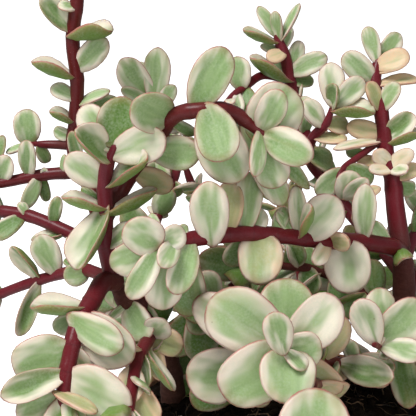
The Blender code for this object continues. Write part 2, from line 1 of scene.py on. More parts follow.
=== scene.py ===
"""Looks of a small potted elephant bush, the cream-edged form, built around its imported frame.

Every shoot gets a stem with node rings and a set of fleshy cupped leaves, which stand for the
plain solid of the same name. The soil becomes fibrous peat with grit, and the pot a turned clay
pan. Lengths in the tables and settings are millimetres; points are metres once they are read.
"""

import json
import math
import random

import bmesh
import bpy
from bpy.props import FloatProperty, FloatVectorProperty, IntProperty, PointerProperty
from mathutils import Matrix, Vector, noise


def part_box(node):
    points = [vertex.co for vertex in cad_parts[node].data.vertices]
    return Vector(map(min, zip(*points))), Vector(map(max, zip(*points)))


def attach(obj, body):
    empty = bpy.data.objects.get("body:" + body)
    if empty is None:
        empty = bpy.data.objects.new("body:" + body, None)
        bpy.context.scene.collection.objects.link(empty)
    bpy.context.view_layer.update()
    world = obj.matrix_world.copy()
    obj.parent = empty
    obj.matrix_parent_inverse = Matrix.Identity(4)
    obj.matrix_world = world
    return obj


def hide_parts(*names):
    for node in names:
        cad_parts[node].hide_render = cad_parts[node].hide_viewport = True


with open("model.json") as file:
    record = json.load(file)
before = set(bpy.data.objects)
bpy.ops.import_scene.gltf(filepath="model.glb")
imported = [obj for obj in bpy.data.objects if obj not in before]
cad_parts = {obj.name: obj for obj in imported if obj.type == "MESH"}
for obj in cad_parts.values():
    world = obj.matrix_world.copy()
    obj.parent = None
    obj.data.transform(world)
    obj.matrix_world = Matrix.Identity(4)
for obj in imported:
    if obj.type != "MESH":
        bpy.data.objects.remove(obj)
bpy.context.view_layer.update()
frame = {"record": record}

bl_info = {
    "name": "Potted Elephant Bush",
    "version": (1, 0, 0),
    "blender": (4, 5, 0),
    "location": "View3D > Sidebar > Bush",
    "description": "Grows the leaves, stems, soil and pot of a small cream-edged elephant bush",
    "category": "Add Mesh",
}

MM = 0.001
POT_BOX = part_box("pot")
SOIL_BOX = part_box("soil")
FRONT = Vector((0, -1, 0))
UP = Vector((0, 0, 1))
BLACK = (0, 0, 0)
WHITE = (1, 1, 1)

# Growth values shared with the solids (mm, degrees and shares of a leaf's length).
WALL = 5
STAND_OFF = 1.5
SOIL_EDGE = 85.5
SOIL_FLAT_RADIUS = 26
SOIL_CURVE = 1.6
PAIR_WIDTH = 0.72
BUD_WIDTH = 0.62
PAIR_LEAN = 38
TIP_LEAN = 62
BUD_LEAN = (50, 68)
BUD_SCALES = (1, 0.6)
FIRST_ROLL = 45
ROLL_SPREAD = (-20, 20)
SIZE_SPREAD = (0.85, 1.15)
LAP = 0.7
FULLNESS = 2.35
INFILL_REACH = 0.75
SEED = 7

# Detail of the meshes: steps along a route (mm), sides and bands of a leaf, and the width (mm)
# from which a leaf placed on its own counts as broad.
ROUTE_STEP = 2
BROAD_LEAF = 10
BROAD_MESH = (28, 6)
NARROW_MESH = (20, 6)
RULED_MESH = (14, 4)

# A node on a stem: how far below its leaves the swelling sits, how long it and the groove are
# (mm), the groove's depth and an old stem's knobs as shares of the radius, and the least gap
# between nodes and how far one strays as shares of their spacing.
SWELL_DROP = 0.7
SWELL_LENGTH = 1.6
GROOVE_LENGTH = 0.5
GROOVE_DEPTH = 0.02
KNOB_HEIGHT = 0.12
NODE_GAP = 0.4
NODE_STRAY = (-0.2, 0.2)

# The soil's mesh: its rings and sides, its gap from the pot's wall and its depth at the edge
# and the middle (mm).
SOIL_RINGS = 26
SOIL_SIDES = 120
SOIL_GAP = 0.4
SOIL_DEPTH = (12, 14)

# What lies on the soil: sizes, and a fibre's points, their steps, heights and thickness (mm).
CRUMB_SIZE = (0.4, 1.5)
CRUMB_STRETCH = (0.8, 1.7)
GRIT_SIZE = (0.5, 1.3)
FIBRE_POINTS = 6
FIBRE_STEP = (0.8, 2.2)
FIBRE_LIFT = (-0.3, 1.4)
FIBRE_THICKNESS = (0.12, 0.32)

# The pot's rounded edges, the unevenness of its wall (mm), the angle from which an edge of it
# stays sharp (degrees), and how close two points of a turned shape become one (mm).
LIP = 1.4
BAND_CURVE = 0.8
INNER_CURVE = 3
HAND_WAVE = 0.25
SHARP_ANGLE = 55
MERGE_GAP = 0.005

# The lights' sizes and places from the aim, and the floor's radius (m).
KEY_SIZE = 0.55
KEY_PLACE = Vector((-0.45, -0.55, 0.95))
FILL_SIZE = 0.9
FILL_PLACE = Vector((0.55, -1.1, 0.25))
FLOOR_RADIUS = 9

POT_HEIGHT = POT_BOX[1].z / MM
RIM_RADIUS = (POT_BOX[1].x - POT_BOX[0].x) / 2 / MM
SOIL_REACH = RIM_RADIUS - WALL
SOIL_TOP = SOIL_BOX[1].z / MM

# Each shoot: its thickness at the foot and at the tip, and its route (mm). About half of the
# points were worked out by another program and pasted in, so they follow no rule in this script.
STEMS = {
    "left_trunk": (9, 6, [
        (-39, -4, 84), (-41, -8, 104), (-47, -14, 119), (-54, -20, 130), (-59, -24, 140)]),
    "right_trunk": (9, 7, [
        (36, 4, 82), (39, 6, 105), (39, 4, 124), (38, 2, 138), (37, 2, 147)]),
    "back_trunk": (8, 6, [
        (4, 24, 82), (6, 30, 104), (8, 36, 119)]),
    "centre_shoot": (5.4, 4.6, [
        (-58, -23, 138), (-60, -26, 149), (-60, -27, 163), (-60, -28, 171), (-59, -30, 177),
        (-56, -34, 184)]),
    "front_drooping_shoot": (6.6, 3.4, [
        (-57, -23, 138), (-61, -28, 139), (-64, -36, 135), (-68, -43, 129), (-70, -48, 120),
        (-71, -50, 115), (-72, -51, 107), (-74, -50, 96), (-76, -48, 82)]),
    "lower_left_shoot": (4.8, 3.2, [
        (-42, -9, 112), (-46, -18, 119), (-47, -27, 120), (-50, -38, 117), (-51, -47, 112),
        (-52, -57, 104), (-50, -65, 95), (-48, -68, 84)]),
    "arching_shoot": (5.6, 4.5, [
        (-60, -27, 160), (-55, -21, 168), (-50, -23, 176), (-43, -30, 186), (-38, -36, 193),
        (-31, -39, 195), (-24, -38, 195), (-19, -36, 193), (-14, -35, 189), (-9, -36, 186)]),
    "long_level_shoot": (6, 4.6, [
        (37, 2, 141), (33, -6, 145), (21, -15, 149), (10, -22, 151), (-3, -28, 154),
        (-16, -33, 156), (-28, -38, 156), (-38, -43, 156), (-43, -48, 156)]),
    "tall_right_shoot": (7.0, 3.9, [
        (37, 2, 143), (35, 3, 156), (34, 5, 166), (32, 6, 173), (31, 8, 181), (30, 10, 189),
        (28, 12, 197), (29, 14, 204), (29, 15, 209)]),
    "far_right_shoot": (4.4, 2.8, [
        (38, 4, 134), (43, 14, 143), (50, 20, 152), (60, 26, 166), (68, 30, 184),
        (72, 32, 200)]),
    "back_tall_shoot": (5.4, 4.2, [
        (39, 6, 132), (30, 24, 142), (21, 32, 151), (12, 38, 164), (6, 41, 179), (2, 42, 193),
        (0, 42, 202), (-3, 42, 210), (-4, 42, 215)]),
    "back_side_shoot": (3.4, 2.4, [
        (2, 42, 195), (-8, 41, 197), (-14, 36, 194), (-19, 31, 191), (-24, 26, 187)]),
    "middle_shoot": (3.8, 3.2, [
        (17, 35, 157), (9, 28, 166), (7, 20, 173), (8, 14, 179), (12, 11, 184), (14, 9, 191)]),
    "thin_right_shoot": (2.4, 2, [
        (32, 7, 180), (27, 5, 177), (22, 2, 174), (16, -2, 170), (15, -5, 165), (17, -6, 160)]),
    "left_lowest_shoot": (4.4, 3, [
        (-58, -22, 138), (-69, -8, 138), (-77, 2, 134), (-89, 8, 129), (-101, 14, 123),
        (-111, 18, 117), (-118, 20, 108)]),
    "tall_left_shoot": (5.4, 4.6, [
        (-58, -22, 137), (-64, 6, 147), (-69, 20, 159), (-75, 25, 172), (-74, 24, 184),
        (-73, 22, 197), (-74, 20, 211), (-72, 18, 225), (-71, 16, 237), (-70, 15, 246)]),
    "left_top_shoot": (3.6, 2.6, [
        (-75, 25, 174), (-81, 27, 174), (-87, 28, 174), (-93, 30, 174)]),
    "left_upper_shoot": (4.6, 3.4, [
        (-71, 22, 165), (-78, 21, 165), (-87, 22, 164), (-101, 24, 161), (-112, 27, 161),
        (-120, 29, 164)]),
    "left_lower_shoot": (4.8, 4, [
        (-64, 2, 145), (-70, 4, 145), (-76, 8, 147), (-89, 14, 151), (-100, 18, 152),
        (-112, 22, 151), (-120, 24, 146)]),
    "back_left_shoot": (4, 2.6, [
        (-50, -17, 125), (-47, 0, 146), (-43, 10, 158), (-39, 18, 166), (-40, 30, 175),
        (-47, 42, 185), (-51, 46, 194)]),
    "front_rosette_shoot": (4.6, 3.6, [
        (38, 5, 103), (19, -10, 106), (4, -30, 115), (-6, -55, 126)]),
    "right_rosette_shoot": (4.2, 3.2, [
        (39, 5, 109), (34, -14, 114), (23, -39, 122)]),
    "inner_shoot": (3.8, 2.6, [
        (39, 5, 119), (25, 10, 126), (7, 8, 134), (-10, 2, 136), (-22, -6, 130),
        (-28, -16, 130), (-32, -24, 135)]),
    "front_spilling_shoot": (4.4, 2.8, [
        (15, -14, 84), (9, -30, 103), (4, -46, 112), (3, -58, 109), (2, -68, 100),
        (0, -76, 84), (-2, -80, 66)]),
    "low_front_shoot": (4, 3.2, [
        (-17, -10, 84), (-18, -22, 100), (-19, -36, 116)]),
    "back_upright_shoot": (4.6, 3, [
        (8, 36, 116), (4, 44, 136), (-2, 52, 154), (-3, 56, 170)]),
    "back_left_upright": (4.4, 2.8, [
        (8, 36, 116), (-16, 46, 132), (-31, 51, 149), (-38, 56, 165)]),
    "back_right_upright": (4.4, 2.8, [
        (39, 5, 121), (52, 30, 137), (62, 46, 154), (68, 56, 172)]),
    "back_middle_shoot": (4, 2.8, [
        (7, 33, 110), (20, 46, 124), (28, 54, 138)]),
    "back_left_spill": (4.6, 2.8, [
        (6, 33, 111), (-20, 52, 112), (-45, 68, 111), (-62, 82, 102), (-72, 92, 86),
        (-77, 97, 66)]),
    "back_centre_spill": (4.6, 2.8, [
        (8, 36, 115), (13, 58, 118), (14, 80, 111), (14, 92, 95), (13, 98, 77), (12, 102, 58)]),
    "back_right_spill": (4.6, 2.8, [
        (39, 6, 113), (48, 34, 118), (62, 56, 113), (73, 72, 97), (79, 80, 77),
        (82, 84, 56)]),
    "back_low_spill": (4.4, 2.8, [
        (7, 33, 107), (24, 56, 112), (38, 76, 107), (48, 88, 90), (52, 92, 70)]),
    "left_back_spill": (4.4, 2.8, [
        (-43, -10, 112), (-52, 14, 117), (-64, 36, 109), (-72, 50, 91), (-76, 56, 70)]),
    "right_low_spill": (4.6, 2.8, [
        (39, 5, 106), (60, -2, 113), (80, -10, 104), (92, -16, 85), (96, -20, 64)]),
    "right_front_spill": (4.6, 2.8, [
        (38, 5, 112), (50, -24, 117), (63, -42, 109), (72, -54, 92), (76, -60, 72)]),
}

# Leaves placed one by one: distance along the stem, place of the leaf's tip, width, turn about the
# leaf's own length from facing the front (mm and degrees), the letter of its tone and, where it
# isn't LAP, how far the leaf's foot is drawn forward and back over its stem (mm). Most of the
# places were worked out by another program and pasted in, as above.
LEAVES = {
    "left_trunk": [
        (52, (-47, -30, 121), 10, 0, "g", 2), (52, (-60, -28, 127), 3, 0, "g"),
        (34, (-40, 10, 112), 14, 0, "k"), (20, (-32, 8, 104), 13, 0, "k"),
        (12, (-30, -6, 97), 10, 0, "k")],
    "right_trunk": [
        (20, (42, -15, 99), 11, 0, "d")],
    "centre_shoot": [
        (46, (-66, -31, 195), 10, -5, "c"), (47, (-53, -34, 198), 13, 5, "x"),
        (43, (-68, -41, 189), 10, -45, "v", 2),
        (44, (-41, -38, 187), 12, 0, "c", 1), (33, (-71, -31, 180), 10, 0, "c"),
        (33, (-45, -39, 180), 10, 66, "w", 0.8),
        (26, (-73, -31, 166), 8, -86, "v", 2), (24, (-43, -31, 167), 8, 86, "w", 2),
        (26, (-67, -36, 145), 12, -45, "v", 2), (13, (-51, -31, 158), 7, 40, "g"),
        (26, (-68, -21, 168), 4, 0, "d")],
    "front_drooping_shoot": [
        (17, (-82, -41, 133), 11, -86, "v", 1.2), (19, (-76, -35, 125), 7, 0, "g"),
        (23, (-54, -51, 125), 11, 0, "g", 6), (48, (-72, -60, 93), 12, 0, "v", 2),
        (22, (-52, -46, 119), 15, 0, "g"), (32, (-64, -44, 115), 6, 0, "b"),
        (33, (-87, -48, 118), 15, -5, "g"), (40, (-89, -57, 112), 9, -20, "w", 1.5),
        (47, (-85, -55, 105), 10, -10, "g"), (46, (-61, -61, 108), 7, 80, "y", 5),
        (41, (-52, -54, 105), 18, 0, "c"), (46, (-63, -60, 96), 8, 0, "g")],
    "lower_left_shoot": [
        (16, (-36, -27, 117), 9, 10, "y"), (15, (-43, -29, 107), 6, 0, "y"),
        (25, (-40, -36, 105), 6, 80, "w"), (42, (-44, -51, 101), 9, 0, "y"),
        (36, (-53, -52, 108), 9, 0, "b", 1.5)],
    "arching_shoot": [
        (43, (-50, -44, 198), 13, 0, "m"), (52, (-23, -39, 213), 12, 0, "m"),
        (57, (-23, -47, 181), 13, 0, "m", 3), (55, (-19, -41, 174), 15, 0, "g"),
        (27, (-31, -37, 182), 11, 0, "m"), (18, (-39, -26, 169), 8, 0, "y"),
        (43, (-32, -33, 187), 4, 0, "d"), (39, (-35, -31, 189), 4, 0, "c"),
        (75, (-7, -43, 201), 9, 0, "g"), (75, (-14, -46, 177), 7, 40, "g", 1.5),
        (75, (-3, -34, 201), 17, 0, "g"), (76, (2, -45, 182), 11, 0, "g", 1.2),
        (75, (-7, -37, 171), 11, 0, "g"), (68, (-5, -31, 165), 9, 0, "g"),
        (66, (3, -30, 170), 6, 20, "d"), (63, (-15, -30, 181), 5, 10, "c"),
        (62, (-17, -26, 183), 7, 0, "d")],
    "long_level_shoot": [
        (24, (22, -18, 168), 8, 12, "g"), (11, (27, 0, 152), 5, 0, "p"),
        (49, (-1, -30, 170), 6, 0, "c"), (48, (12, -29, 166), 13, 5, "c"),
        (51, (-7, -29, 162), 4, -40, "p"), (50, (5, -38, 165), 7, 80, "w"),
        (63, (-12, -40, 142), 14, 0, "s", 1), (38, (16, -30, 153), 7, 0, "y"),
        (38, (5, -31, 146), 6, 0, "b"), (33, (18, -25, 135), 15, 0, "c"),
        (66, (-22, -28, 145), 7, 0, "d"), (79, (-28, -45, 174), 12, 0, "g", 3.5),
        (74, (-21, -31, 172), 9, 0, "y"), (68, (-15, -29, 174), 9, 0, "g"),
        (66, (-12, -27, 163), 8, 0, "g"),
        (58, (-4, -27, 163), 5, 0, "g"), (4, (35, -14, 144), 7, 0, "v"),
        (98, (-52, -51, 163), 12, 0, "g"), (97, (-35, -43, 159), 8, 0, "c"),
        (91, (-42, -54, 151), 7, 0, "p", 1.5), (86, (-38, -51, 142), 9.5, 10, "g", 2),
        (96, (-57, -44, 148), 11, 0, "p"), (97, (-51, -53, 141), 8, 0, "g"),
        (95, (-42, -43, 135), 12, 0, "c"), (91, (-33, -36, 131), 12, 0, "d"),
        (91, (-37, -32, 140), 10, 0, "y"), (97, (-45, -42, 164), 4, 0, "p"),
        (94, (-34, -40, 160), 4, 0, "p")],
    "tall_right_shoot": [
        (63, (25, 14, 216), 6, 0, "g"), (64, (37, 19, 213), 7, 0, "g"),
        (62, (39, 10, 207), 8, 25, "o", 1.5), (60, (37, 10, 204), 4, 40, "o"),
        (56, (43, 12, 199), 6, 60, "o"), (57, (17, 9, 207), 9, -10, "g"),
        (47, (25, 6, 198), 7, -40, "y"), (47, (35, 6, 198), 7, 40, "g"),
        (37, (41, 6, 187), 8, 20, "v"), (36, (43, 4, 181), 8, 86, "w"),
        (29, (27, 1, 176), 6, 0, "b", 2), (28, (40, 1, 176), 6, 20, "b", 2),
        (24, (43, 4, 170), 6, 30, "o"), (27, (38, -3, 170), 5, 50, "c", 2),
        (27, (25, -3, 170), 5, -50, "b", 2), (21, (42, 7, 162), 6, 0, "d"),
        (28, (22, 5, 172), 5, -30, "o"), (37, (14, 2, 177), 6, -75, "b"),
        (39, (19, 10, 183), 7, -10, "o")],
    "far_right_shoot": [
        (24, (41, 17, 160), 6, 0, "g"), (16, (45, 12, 156), 5, 0, "d")],
    "back_tall_shoot": [
        (104, (-10, 41, 221), 5, 0, "p"), (102, (-4, 39, 220), 5, 35, "g"),
        (102, (5, 40, 222), 5, 60, "p"), (102, (-16, 38, 212), 7, -80, "v"),
        (99, (2, 46, 214), 4, 0, "g"), (98, (-9, 45, 207), 4, -40, "p"),
        (98, (-7, 36, 203), 6, -30, "o", 2), (88, (5, 45, 209), 6, 0, "g"),
        (90, (14, 39, 204), 8, 20, "g"), (87, (10, 45, 195), 6, 30, "d"),
        (88, (-14, 36, 202), 9, -86, "v", 2), (90, (-6, 47, 203), 5, 0, "g")],
    "back_side_shoot": [
        (22, (-18, 34, 204), 9, 0, "g"), (20, (-13, 29, 185), 7, -10, "d"),
        (24, (-18, 26, 185), 5, 20, "c"), (29, (-20, 22, 189), 4, 30, "b")],
    "middle_shoot": [
        (47, (13, 11, 204), 9, 0, "c"), (47, (24, 9, 199), 8, 0, "c"),
        (46, (15, 5, 198), 6, 50, "v"), (46, (27, 3, 188), 9, 80, "w"),
        (46, (25, 14, 192), 4, 80, "d"), (39, (4, 8, 192), 7, -20, "c"),
        (38, (4, 16, 192), 6, 0, "p"), (33, (19, 10, 178), 6, 55, "y"),
        (40, (20, 16, 182), 7, 30, "y"), (24, (16, 23, 167), 9, 40, "d")],
    "thin_right_shoot": [
        (10, (18, 6, 175), 4, 0, "d"), (20, (8, -4, 162), 8, 0, "g"),
        (19, (27, 3, 166), 7, 20, "d"), (31, (19, -9, 171), 9, 0, "c"),
        (31, (23, -13, 169), 6, 0, "c"), (31, (29, -2, 164), 4, 20, "o")],
    "left_lowest_shoot": [
        (34, (-85, 2, 147), 10, 0, "g"), (42, (-93, 4, 144), 7, 40, "w"),
        (42, (-94, 2, 113), 7, 25, "v"), (16, (-75, -12, 136), 8, 0, "p"),
        (20, (-76, -2, 140), 4, -40, "d")],
    "tall_left_shoot": [
        (108, (-84, 17, 226), 10, -25, "v"), (116, (-78, 15, 223), 5, -50, "g"),
        (107, (-60, 12, 214), 10, 86, "w", 3), (94, (-62, 15, 212), 9, 0, "g"),
        (92, (-88, 18, 203), 9, -86, "v"), (84, (-82, 22, 195), 6, -20, "g"),
        (82, (-62, 20, 194), 6, 60, "p"), (79, (-59, 27, 189), 8, 10, "d"),
        (76, (-83, 22, 186), 7, -80, "v"), (70, (-82, 28, 179), 5, 0, "g"),
        (59, (-75, 20, 180), 5, 0, "d")],
    "left_top_shoot": [
        (17, (-92, 30, 186), 10, 0, "g"), (13, (-85, 30, 167), 5, 0, "d"),
        (17, (-99, 27, 171), 4, -60, "p")],
    "left_upper_shoot": [
        (20, (-90, 17, 177), 7, 15, "g"), (14, (-85, 20, 167), 3, 0, "c"),
        (31, (-98, 20, 171), 8, 0, "g"), (36, (-100, 28, 177), 6, 20, "d"),
        (16, (-92, 18, 153), 6, 20, "p"), (15, (-85, 25, 154), 4, 10, "d"),
        (33, (-106, 24, 155), 5, 0, "d"), (8, (-77, 18, 172), 3, 40, "p")],
    "left_lower_shoot": [
        (20, (-79, 8, 159), 5, 0, "d"), (31, (-102, 12, 144), 7, -20, "d"),
        (30, (-93, 14, 156), 4, -40, "p"), (14, (-88, 12, 142), 5, -70, "v"),
        (12, (-73, 4, 144), 5, 0, "p"), (8, (-71, 2, 151), 3, 0, "p")],
    "back_left_shoot": [
        (90, (-59, 44, 202), 11, 0, "g"), (88, (-46, 45, 206), 10, 0, "g"),
        (90, (-53, 51, 201), 5, 0, "p"), (90, (-59, 41, 192), 5, 0, "g"),
        (86, (-53, 49, 184), 5, 0, "d"), (87, (-40, 42, 193), 6, 0, "g"),
        (62, (-51, 14, 163), 9, 0, "d"), (50, (-38, 14, 158), 6, 0, "d"),
        (25, (-55, -4, 158), 10, 0, "d")],
    "front_rosette_shoot": [
        (72, (-27, -48, 139), 20, 0, "g"), (72, (-5, -42, 144), 18, 0, "g"),
        (72, (10, -50, 140), 15, 0, "c"), (80, (-9, -60, 139), 9, 0, "g", 2),
        (74, (6, -51, 126), 12, 0, "g"), (76, (1, -56, 120), 6, 45, "g", 1.5),
        (74, (-5, -60, 111), 17, 0, "g", 1.5), (72, (-24, -54, 112), 19, 0, "g"),
        (70, (-32, -44, 137), 15, 0, "g"), (42, (15, -28, 127), 10, 0, "y"),
        (62, (13, -38, 107), 9, 0, "y"), (31, (32, -32, 109), 10, 20, "w"),
        (26, (33, -24, 109), 9, 30, "w", 2), (29, (31, -22, 104), 8, 20, "y")],
    "right_rosette_shoot": [
        (44, (18, -39, 137), 10, 0, "c"), (44, (26, -31, 138), 10, 0, "g"),
        (43, (38, -37, 135), 14, 0, "g"), (42, (38, -41, 120), 8, 25, "g"),
        (16, (37, -25, 96), 10, 0, "d"), (34, (39, -25, 113), 5, 0, "p")],
    "inner_shoot": [
        (87, (-34, -24, 125), 11, 0, "k"), (43, (2, 3, 144), 8, 0, "d"),
        (34, (6, 10, 142), 9, 0, "d"), (19, (21, 4, 117), 10, 0, "d"),
        (11, (28, 8, 137), 9, 0, "d"), (26, (17, 5, 122), 8, 0, "d"), (38, (8, 4, 126), 8, 0, "d"),
        (57, (-21, -3, 138), 7, 0, "p"), (78, (-29, -19, 140), 9, 0, "g"),
        (79, (-33, -22, 121), 10, 0, "d"), (54, (-11, -3, 128), 7, 0, "d"),
        (84, (-31, -15, 109), 12, 0, "k"), (80, (-41, -12, 110), 12, 0, "k"),
        (72, (-22, -8, 107), 13, 0, "k"), (58, (-30, -8, 142), 12, 0, "d")],
    "front_spilling_shoot": [
        (76, (3, -68, 118), 22, 0, "g"), (38, (16, -36, 106), 8, -20, "y"),
        (34, (0, -36, 115), 8, 0, "d")],
    "low_front_shoot": [
        (34, (-34, -37, 112), 19, 0, "g"), (22, (-8, -27, 99), 6, 0, "y"),
        (22, (-34, -25, 100), 11, 0, "k"), (33, (-14, -29, 104), 9, 0, "k")],
}

# Leaf pairs set by rule: distance of the first pair along the stem, spacing of the pairs, and
# length of the first and the last leaves (mm).
PAIRS = {
    "front_drooping_shoot": (58, 8, 15, 9),
    "lower_left_shoot": (52, 8, 13, 8),
    "tall_left_shoot": (124, 7, 13, 7),
    "left_upper_shoot": (40, 7, 13, 7),
    "left_lower_shoot": (40, 7, 13, 7),
    "left_lowest_shoot": (60, 7, 13, 7),
    "far_right_shoot": (36, 8, 15, 7),
    "front_spilling_shoot": (56, 8, 15, 8),
    "back_upright_shoot": (16, 8, 14, 8),
    "back_left_upright": (16, 10, 15, 8),
    "back_right_upright": (16, 10, 15, 8),
    "back_middle_shoot": (14, 9, 13, 8),
    "back_left_spill": (24, 11, 16, 9),
    "back_centre_spill": (18, 11, 16, 9),
    "back_right_spill": (22, 11, 16, 9),
    "back_low_spill": (24, 11, 16, 9),
    "left_back_spill": (18, 11, 16, 9),
    "right_low_spill": (18, 11, 16, 9),
    "right_front_spill": (20, 11, 16, 9),
}

# Further pairs, which thicken the shoots at the back and in the dense middle.
INFILL = {
    "back_left_spill": (18, 11, 15, 9),
    "back_centre_spill": (12, 11, 15, 9),
    "back_right_spill": (16, 11, 15, 9),
    "back_low_spill": (18, 11, 15, 9),
    "left_back_spill": (12, 11, 15, 9),
    "right_low_spill": (24, 11, 15, 9),
    "right_front_spill": (26, 11, 15, 9),
    "back_upright_shoot": (20, 8, 14, 8),
    "back_left_upright": (11, 10, 15, 8),
    "back_right_upright": (21, 10, 15, 8),
    "back_middle_shoot": (8, 9, 13, 8),
    "inner_shoot": (14, 9, 13, 10),
    "back_left_shoot": (14, 11, 13, 10),
    "lower_left_shoot": (8, 11, 12, 9),
    "front_rosette_shoot": (12, 11, 13, 10),
    "right_rosette_shoot": (8, 11, 12, 9),
    "back_tall_shoot": (12, 11, 14, 10),
}

# Tones: how far the green reaches, how deep it is, how warm the cream is, how vivid the green
# of the underside is, and which side of the leaf the green keeps to (0: either).
TONES = {
    "g": (0.66, 0.27, 0.0, 0.3, 0),
    "m": (0.86, 0.38, 0.0, 0.3, 0),
    "c": (0.44, 0.15, 0.0, 0.2, 0),
    "v": (0.68, 0.50, 0.0, 1.0, 0.5),
    "w": (0.68, 0.50, 0.0, 1.0, -0.5),
    "x": (0.75, 0.70, 0.0, 0.95, 0.35),
    # d is a darker copy of the leaf colours: painted shade for leaves that sit in shadow.
    "d": (0.95, 0.65, 0.1, 0.5, 0),
    # k is darker still: painted shade for the leaves deep inside the bush.
    "k": (1.0, 1.0, 0.0, 0.7, 0),
    "p": (0.74, 0.10, 0.0, 0.2, 0),
    "b": (0.22, 0.10, 0.3, 0.1, 0),
    "s": (0.60, 0.30, 0.35, 0.4, 0),
    "y": (0.62, 0.35, 0.55, 0.4, 0),
    "o": (0.36, 0.20, 1.0, 0.1, 0),
}
# Leaves set by rule draw their tone from this mix, so some get the painted shade of d.
TONE_MIX = "gggmccpdyvw"

# Stems: how woody each one is and how far its crimson turns to a dusty pink.
STEM_LOOKS = {
    "left_trunk": (0.9, 0.15), "right_trunk": (0.75, 0.2), "back_trunk": (0.9, 0.1),
    "centre_shoot": (0.0, 0.85), "front_drooping_shoot": (0.05, 0.3), "arching_shoot": (0.3, 0.1),
    "long_level_shoot": (0.05, 0.3), "tall_right_shoot": (0.0, 0.35), "far_right_shoot": (0.1, 0.9),
    "back_tall_shoot": (0.0, 0.5), "tall_left_shoot": (0.2, 0.05), "left_lowest_shoot": (0.05, 0.5),
    "left_upper_shoot": (0.15, 0.2), "left_lower_shoot": (0.1, 0.5), "middle_shoot": (0.05, 0.7),
    "inner_shoot": (0.5, 0.2), "front_rosette_shoot": (0.3, 0.2),
}
COMMON_STEM = (0.1, 0.4)


def smooth_route(points):
    """Close points on a Catmull-Rom curve through the given ones, in metres."""
    knots = [Vector(p) * MM for p in points]
    ends = [2 * knots[0] - knots[1]] + knots + [2 * knots[-1] - knots[-2]]
    route = [knots[0]]
    for before, start, end, after in zip(ends, ends[1:], ends[2:], ends[3:]):
        parts = max(1, round((end - start).length / (ROUTE_STEP * MM)))
        for part in range(1, parts + 1):
            t = part / parts
            route.append(0.5 * (2 * start + (end - before) * t
                                + (2 * before - 5 * start + 4 * end - after) * t ** 2
                                + (3 * start - before - 3 * end + after) * t ** 3))
    return route


def length_of(route):
    """Length of a route in mm."""
    return sum((b - a).length for a, b in zip(route, route[1:])) / MM


def place_on(route, along):
    """The point and the direction of the stem at a distance along its route, in metres."""
    for start, end in zip(route, route[1:]):
        run = (end - start).length
        if along <= run or end is route[-1]:
            heading = (end - start).normalized()
            return start + heading * min(along, run), heading
        along -= run


def soil_height(radius):
    """Height of the soil's surface at a distance from the pot's axis, in mm."""
    share = min(1, max(0, (radius - SOIL_FLAT_RADIUS) / (SOIL_REACH - SOIL_FLAT_RADIUS)))
    return SOIL_TOP - (SOIL_TOP - SOIL_EDGE) * share ** SOIL_CURVE


def meets_pot(points):
    """Whether any of the points lies in the pot, in the soil or just above them."""
    for point in points:
        radius = math.hypot(point.x, point.y) / MM
        height = point.z / MM - STAND_OFF
        if radius < SOIL_REACH and height < soil_height(radius):
            return True
        if radius < RIM_RADIUS + STAND_OFF and height < POT_HEIGHT:
            return True
    return False


def set_leaf(route, along, tip, width, turn, tone, lap=LAP):
    """A leaf placed on its own: its base, way, face, length, width and tone."""
    base, _ = place_on(route, along * MM)
    way = (Vector(tip) * MM - base).normalized()
    base += (FRONT - way) * lap * MM
    way = Vector(tip) * MM - base
    length = way.length
    way.normalize()
    facing = (FRONT - way * FRONT.dot(way)).normalized()
    across = facing.cross(way)
    face = facing * math.cos(math.radians(turn)) + across * math.sin(math.radians(turn))
    return base, way, face, length, width * MM, tone


def pair_leaves(route, first, spacing, longest, shortest, chance, reach=1):
    """Opposite leaves along a share of a stem, each pair a quarter turn from the last one."""
    whole = length_of(route) * reach
    count = max(1, int((whole - first) / spacing)) + 1
    leaves = []
    for pair in range(count):
        share = pair / max(1, count - 1)
        base, heading = place_on(route, min(first + pair * spacing, whole - 1) * MM)
        level = heading.cross(UP).normalized()
        upright = level.cross(heading)
        roll = math.radians(FIRST_ROLL + 90 * pair + chance.uniform(*ROLL_SPREAD))
        lean = math.radians(PAIR_LEAN + (TIP_LEAN - PAIR_LEAN) * share ** 3)
        length = (longest + (shortest - longest) * share) * chance.uniform(*SIZE_SPREAD) * MM
        for side in (0, math.pi):
            out = level * math.cos(roll + side) + upright * math.sin(roll + side)
            way = (out * math.cos(lean) + heading * math.sin(lean)).normalized()
            face = (heading - way * heading.dot(way)).normalized()
            if not meets_pot([base + way * length * part for part in (0.4, 0.7, 1)]):
                leaves.append((base, way, face, length, length * PAIR_WIDTH, None))
    return leaves


def bud_leaves(route, size, chance):
    """The tight pairs of young leaves at the tip of a stem."""
    base, heading = place_on(route, length_of(route) * MM)
    level = heading.cross(UP if abs(heading.z) < 0.9 else FRONT).normalized()
    upright = level.cross(heading)
    roll = chance.uniform(0, math.pi)
    leaves = []
    for pair, scale in enumerate(BUD_SCALES):
        for side in (0, math.pi):
            angle = roll + side + pair * math.pi / 2
            out = level * math.cos(angle) + upright * math.sin(angle)
            lean = math.radians(chance.uniform(*BUD_LEAN))
            way = (out * math.cos(lean) + heading * math.sin(lean)).normalized()
            face = (heading - way * heading.dot(way)).normalized()
            length = size * scale * chance.uniform(*SIZE_SPREAD) * MM
            leaves.append((base - heading * MM, way, face, length, length * BUD_WIDTH, "p"))
    return leaves


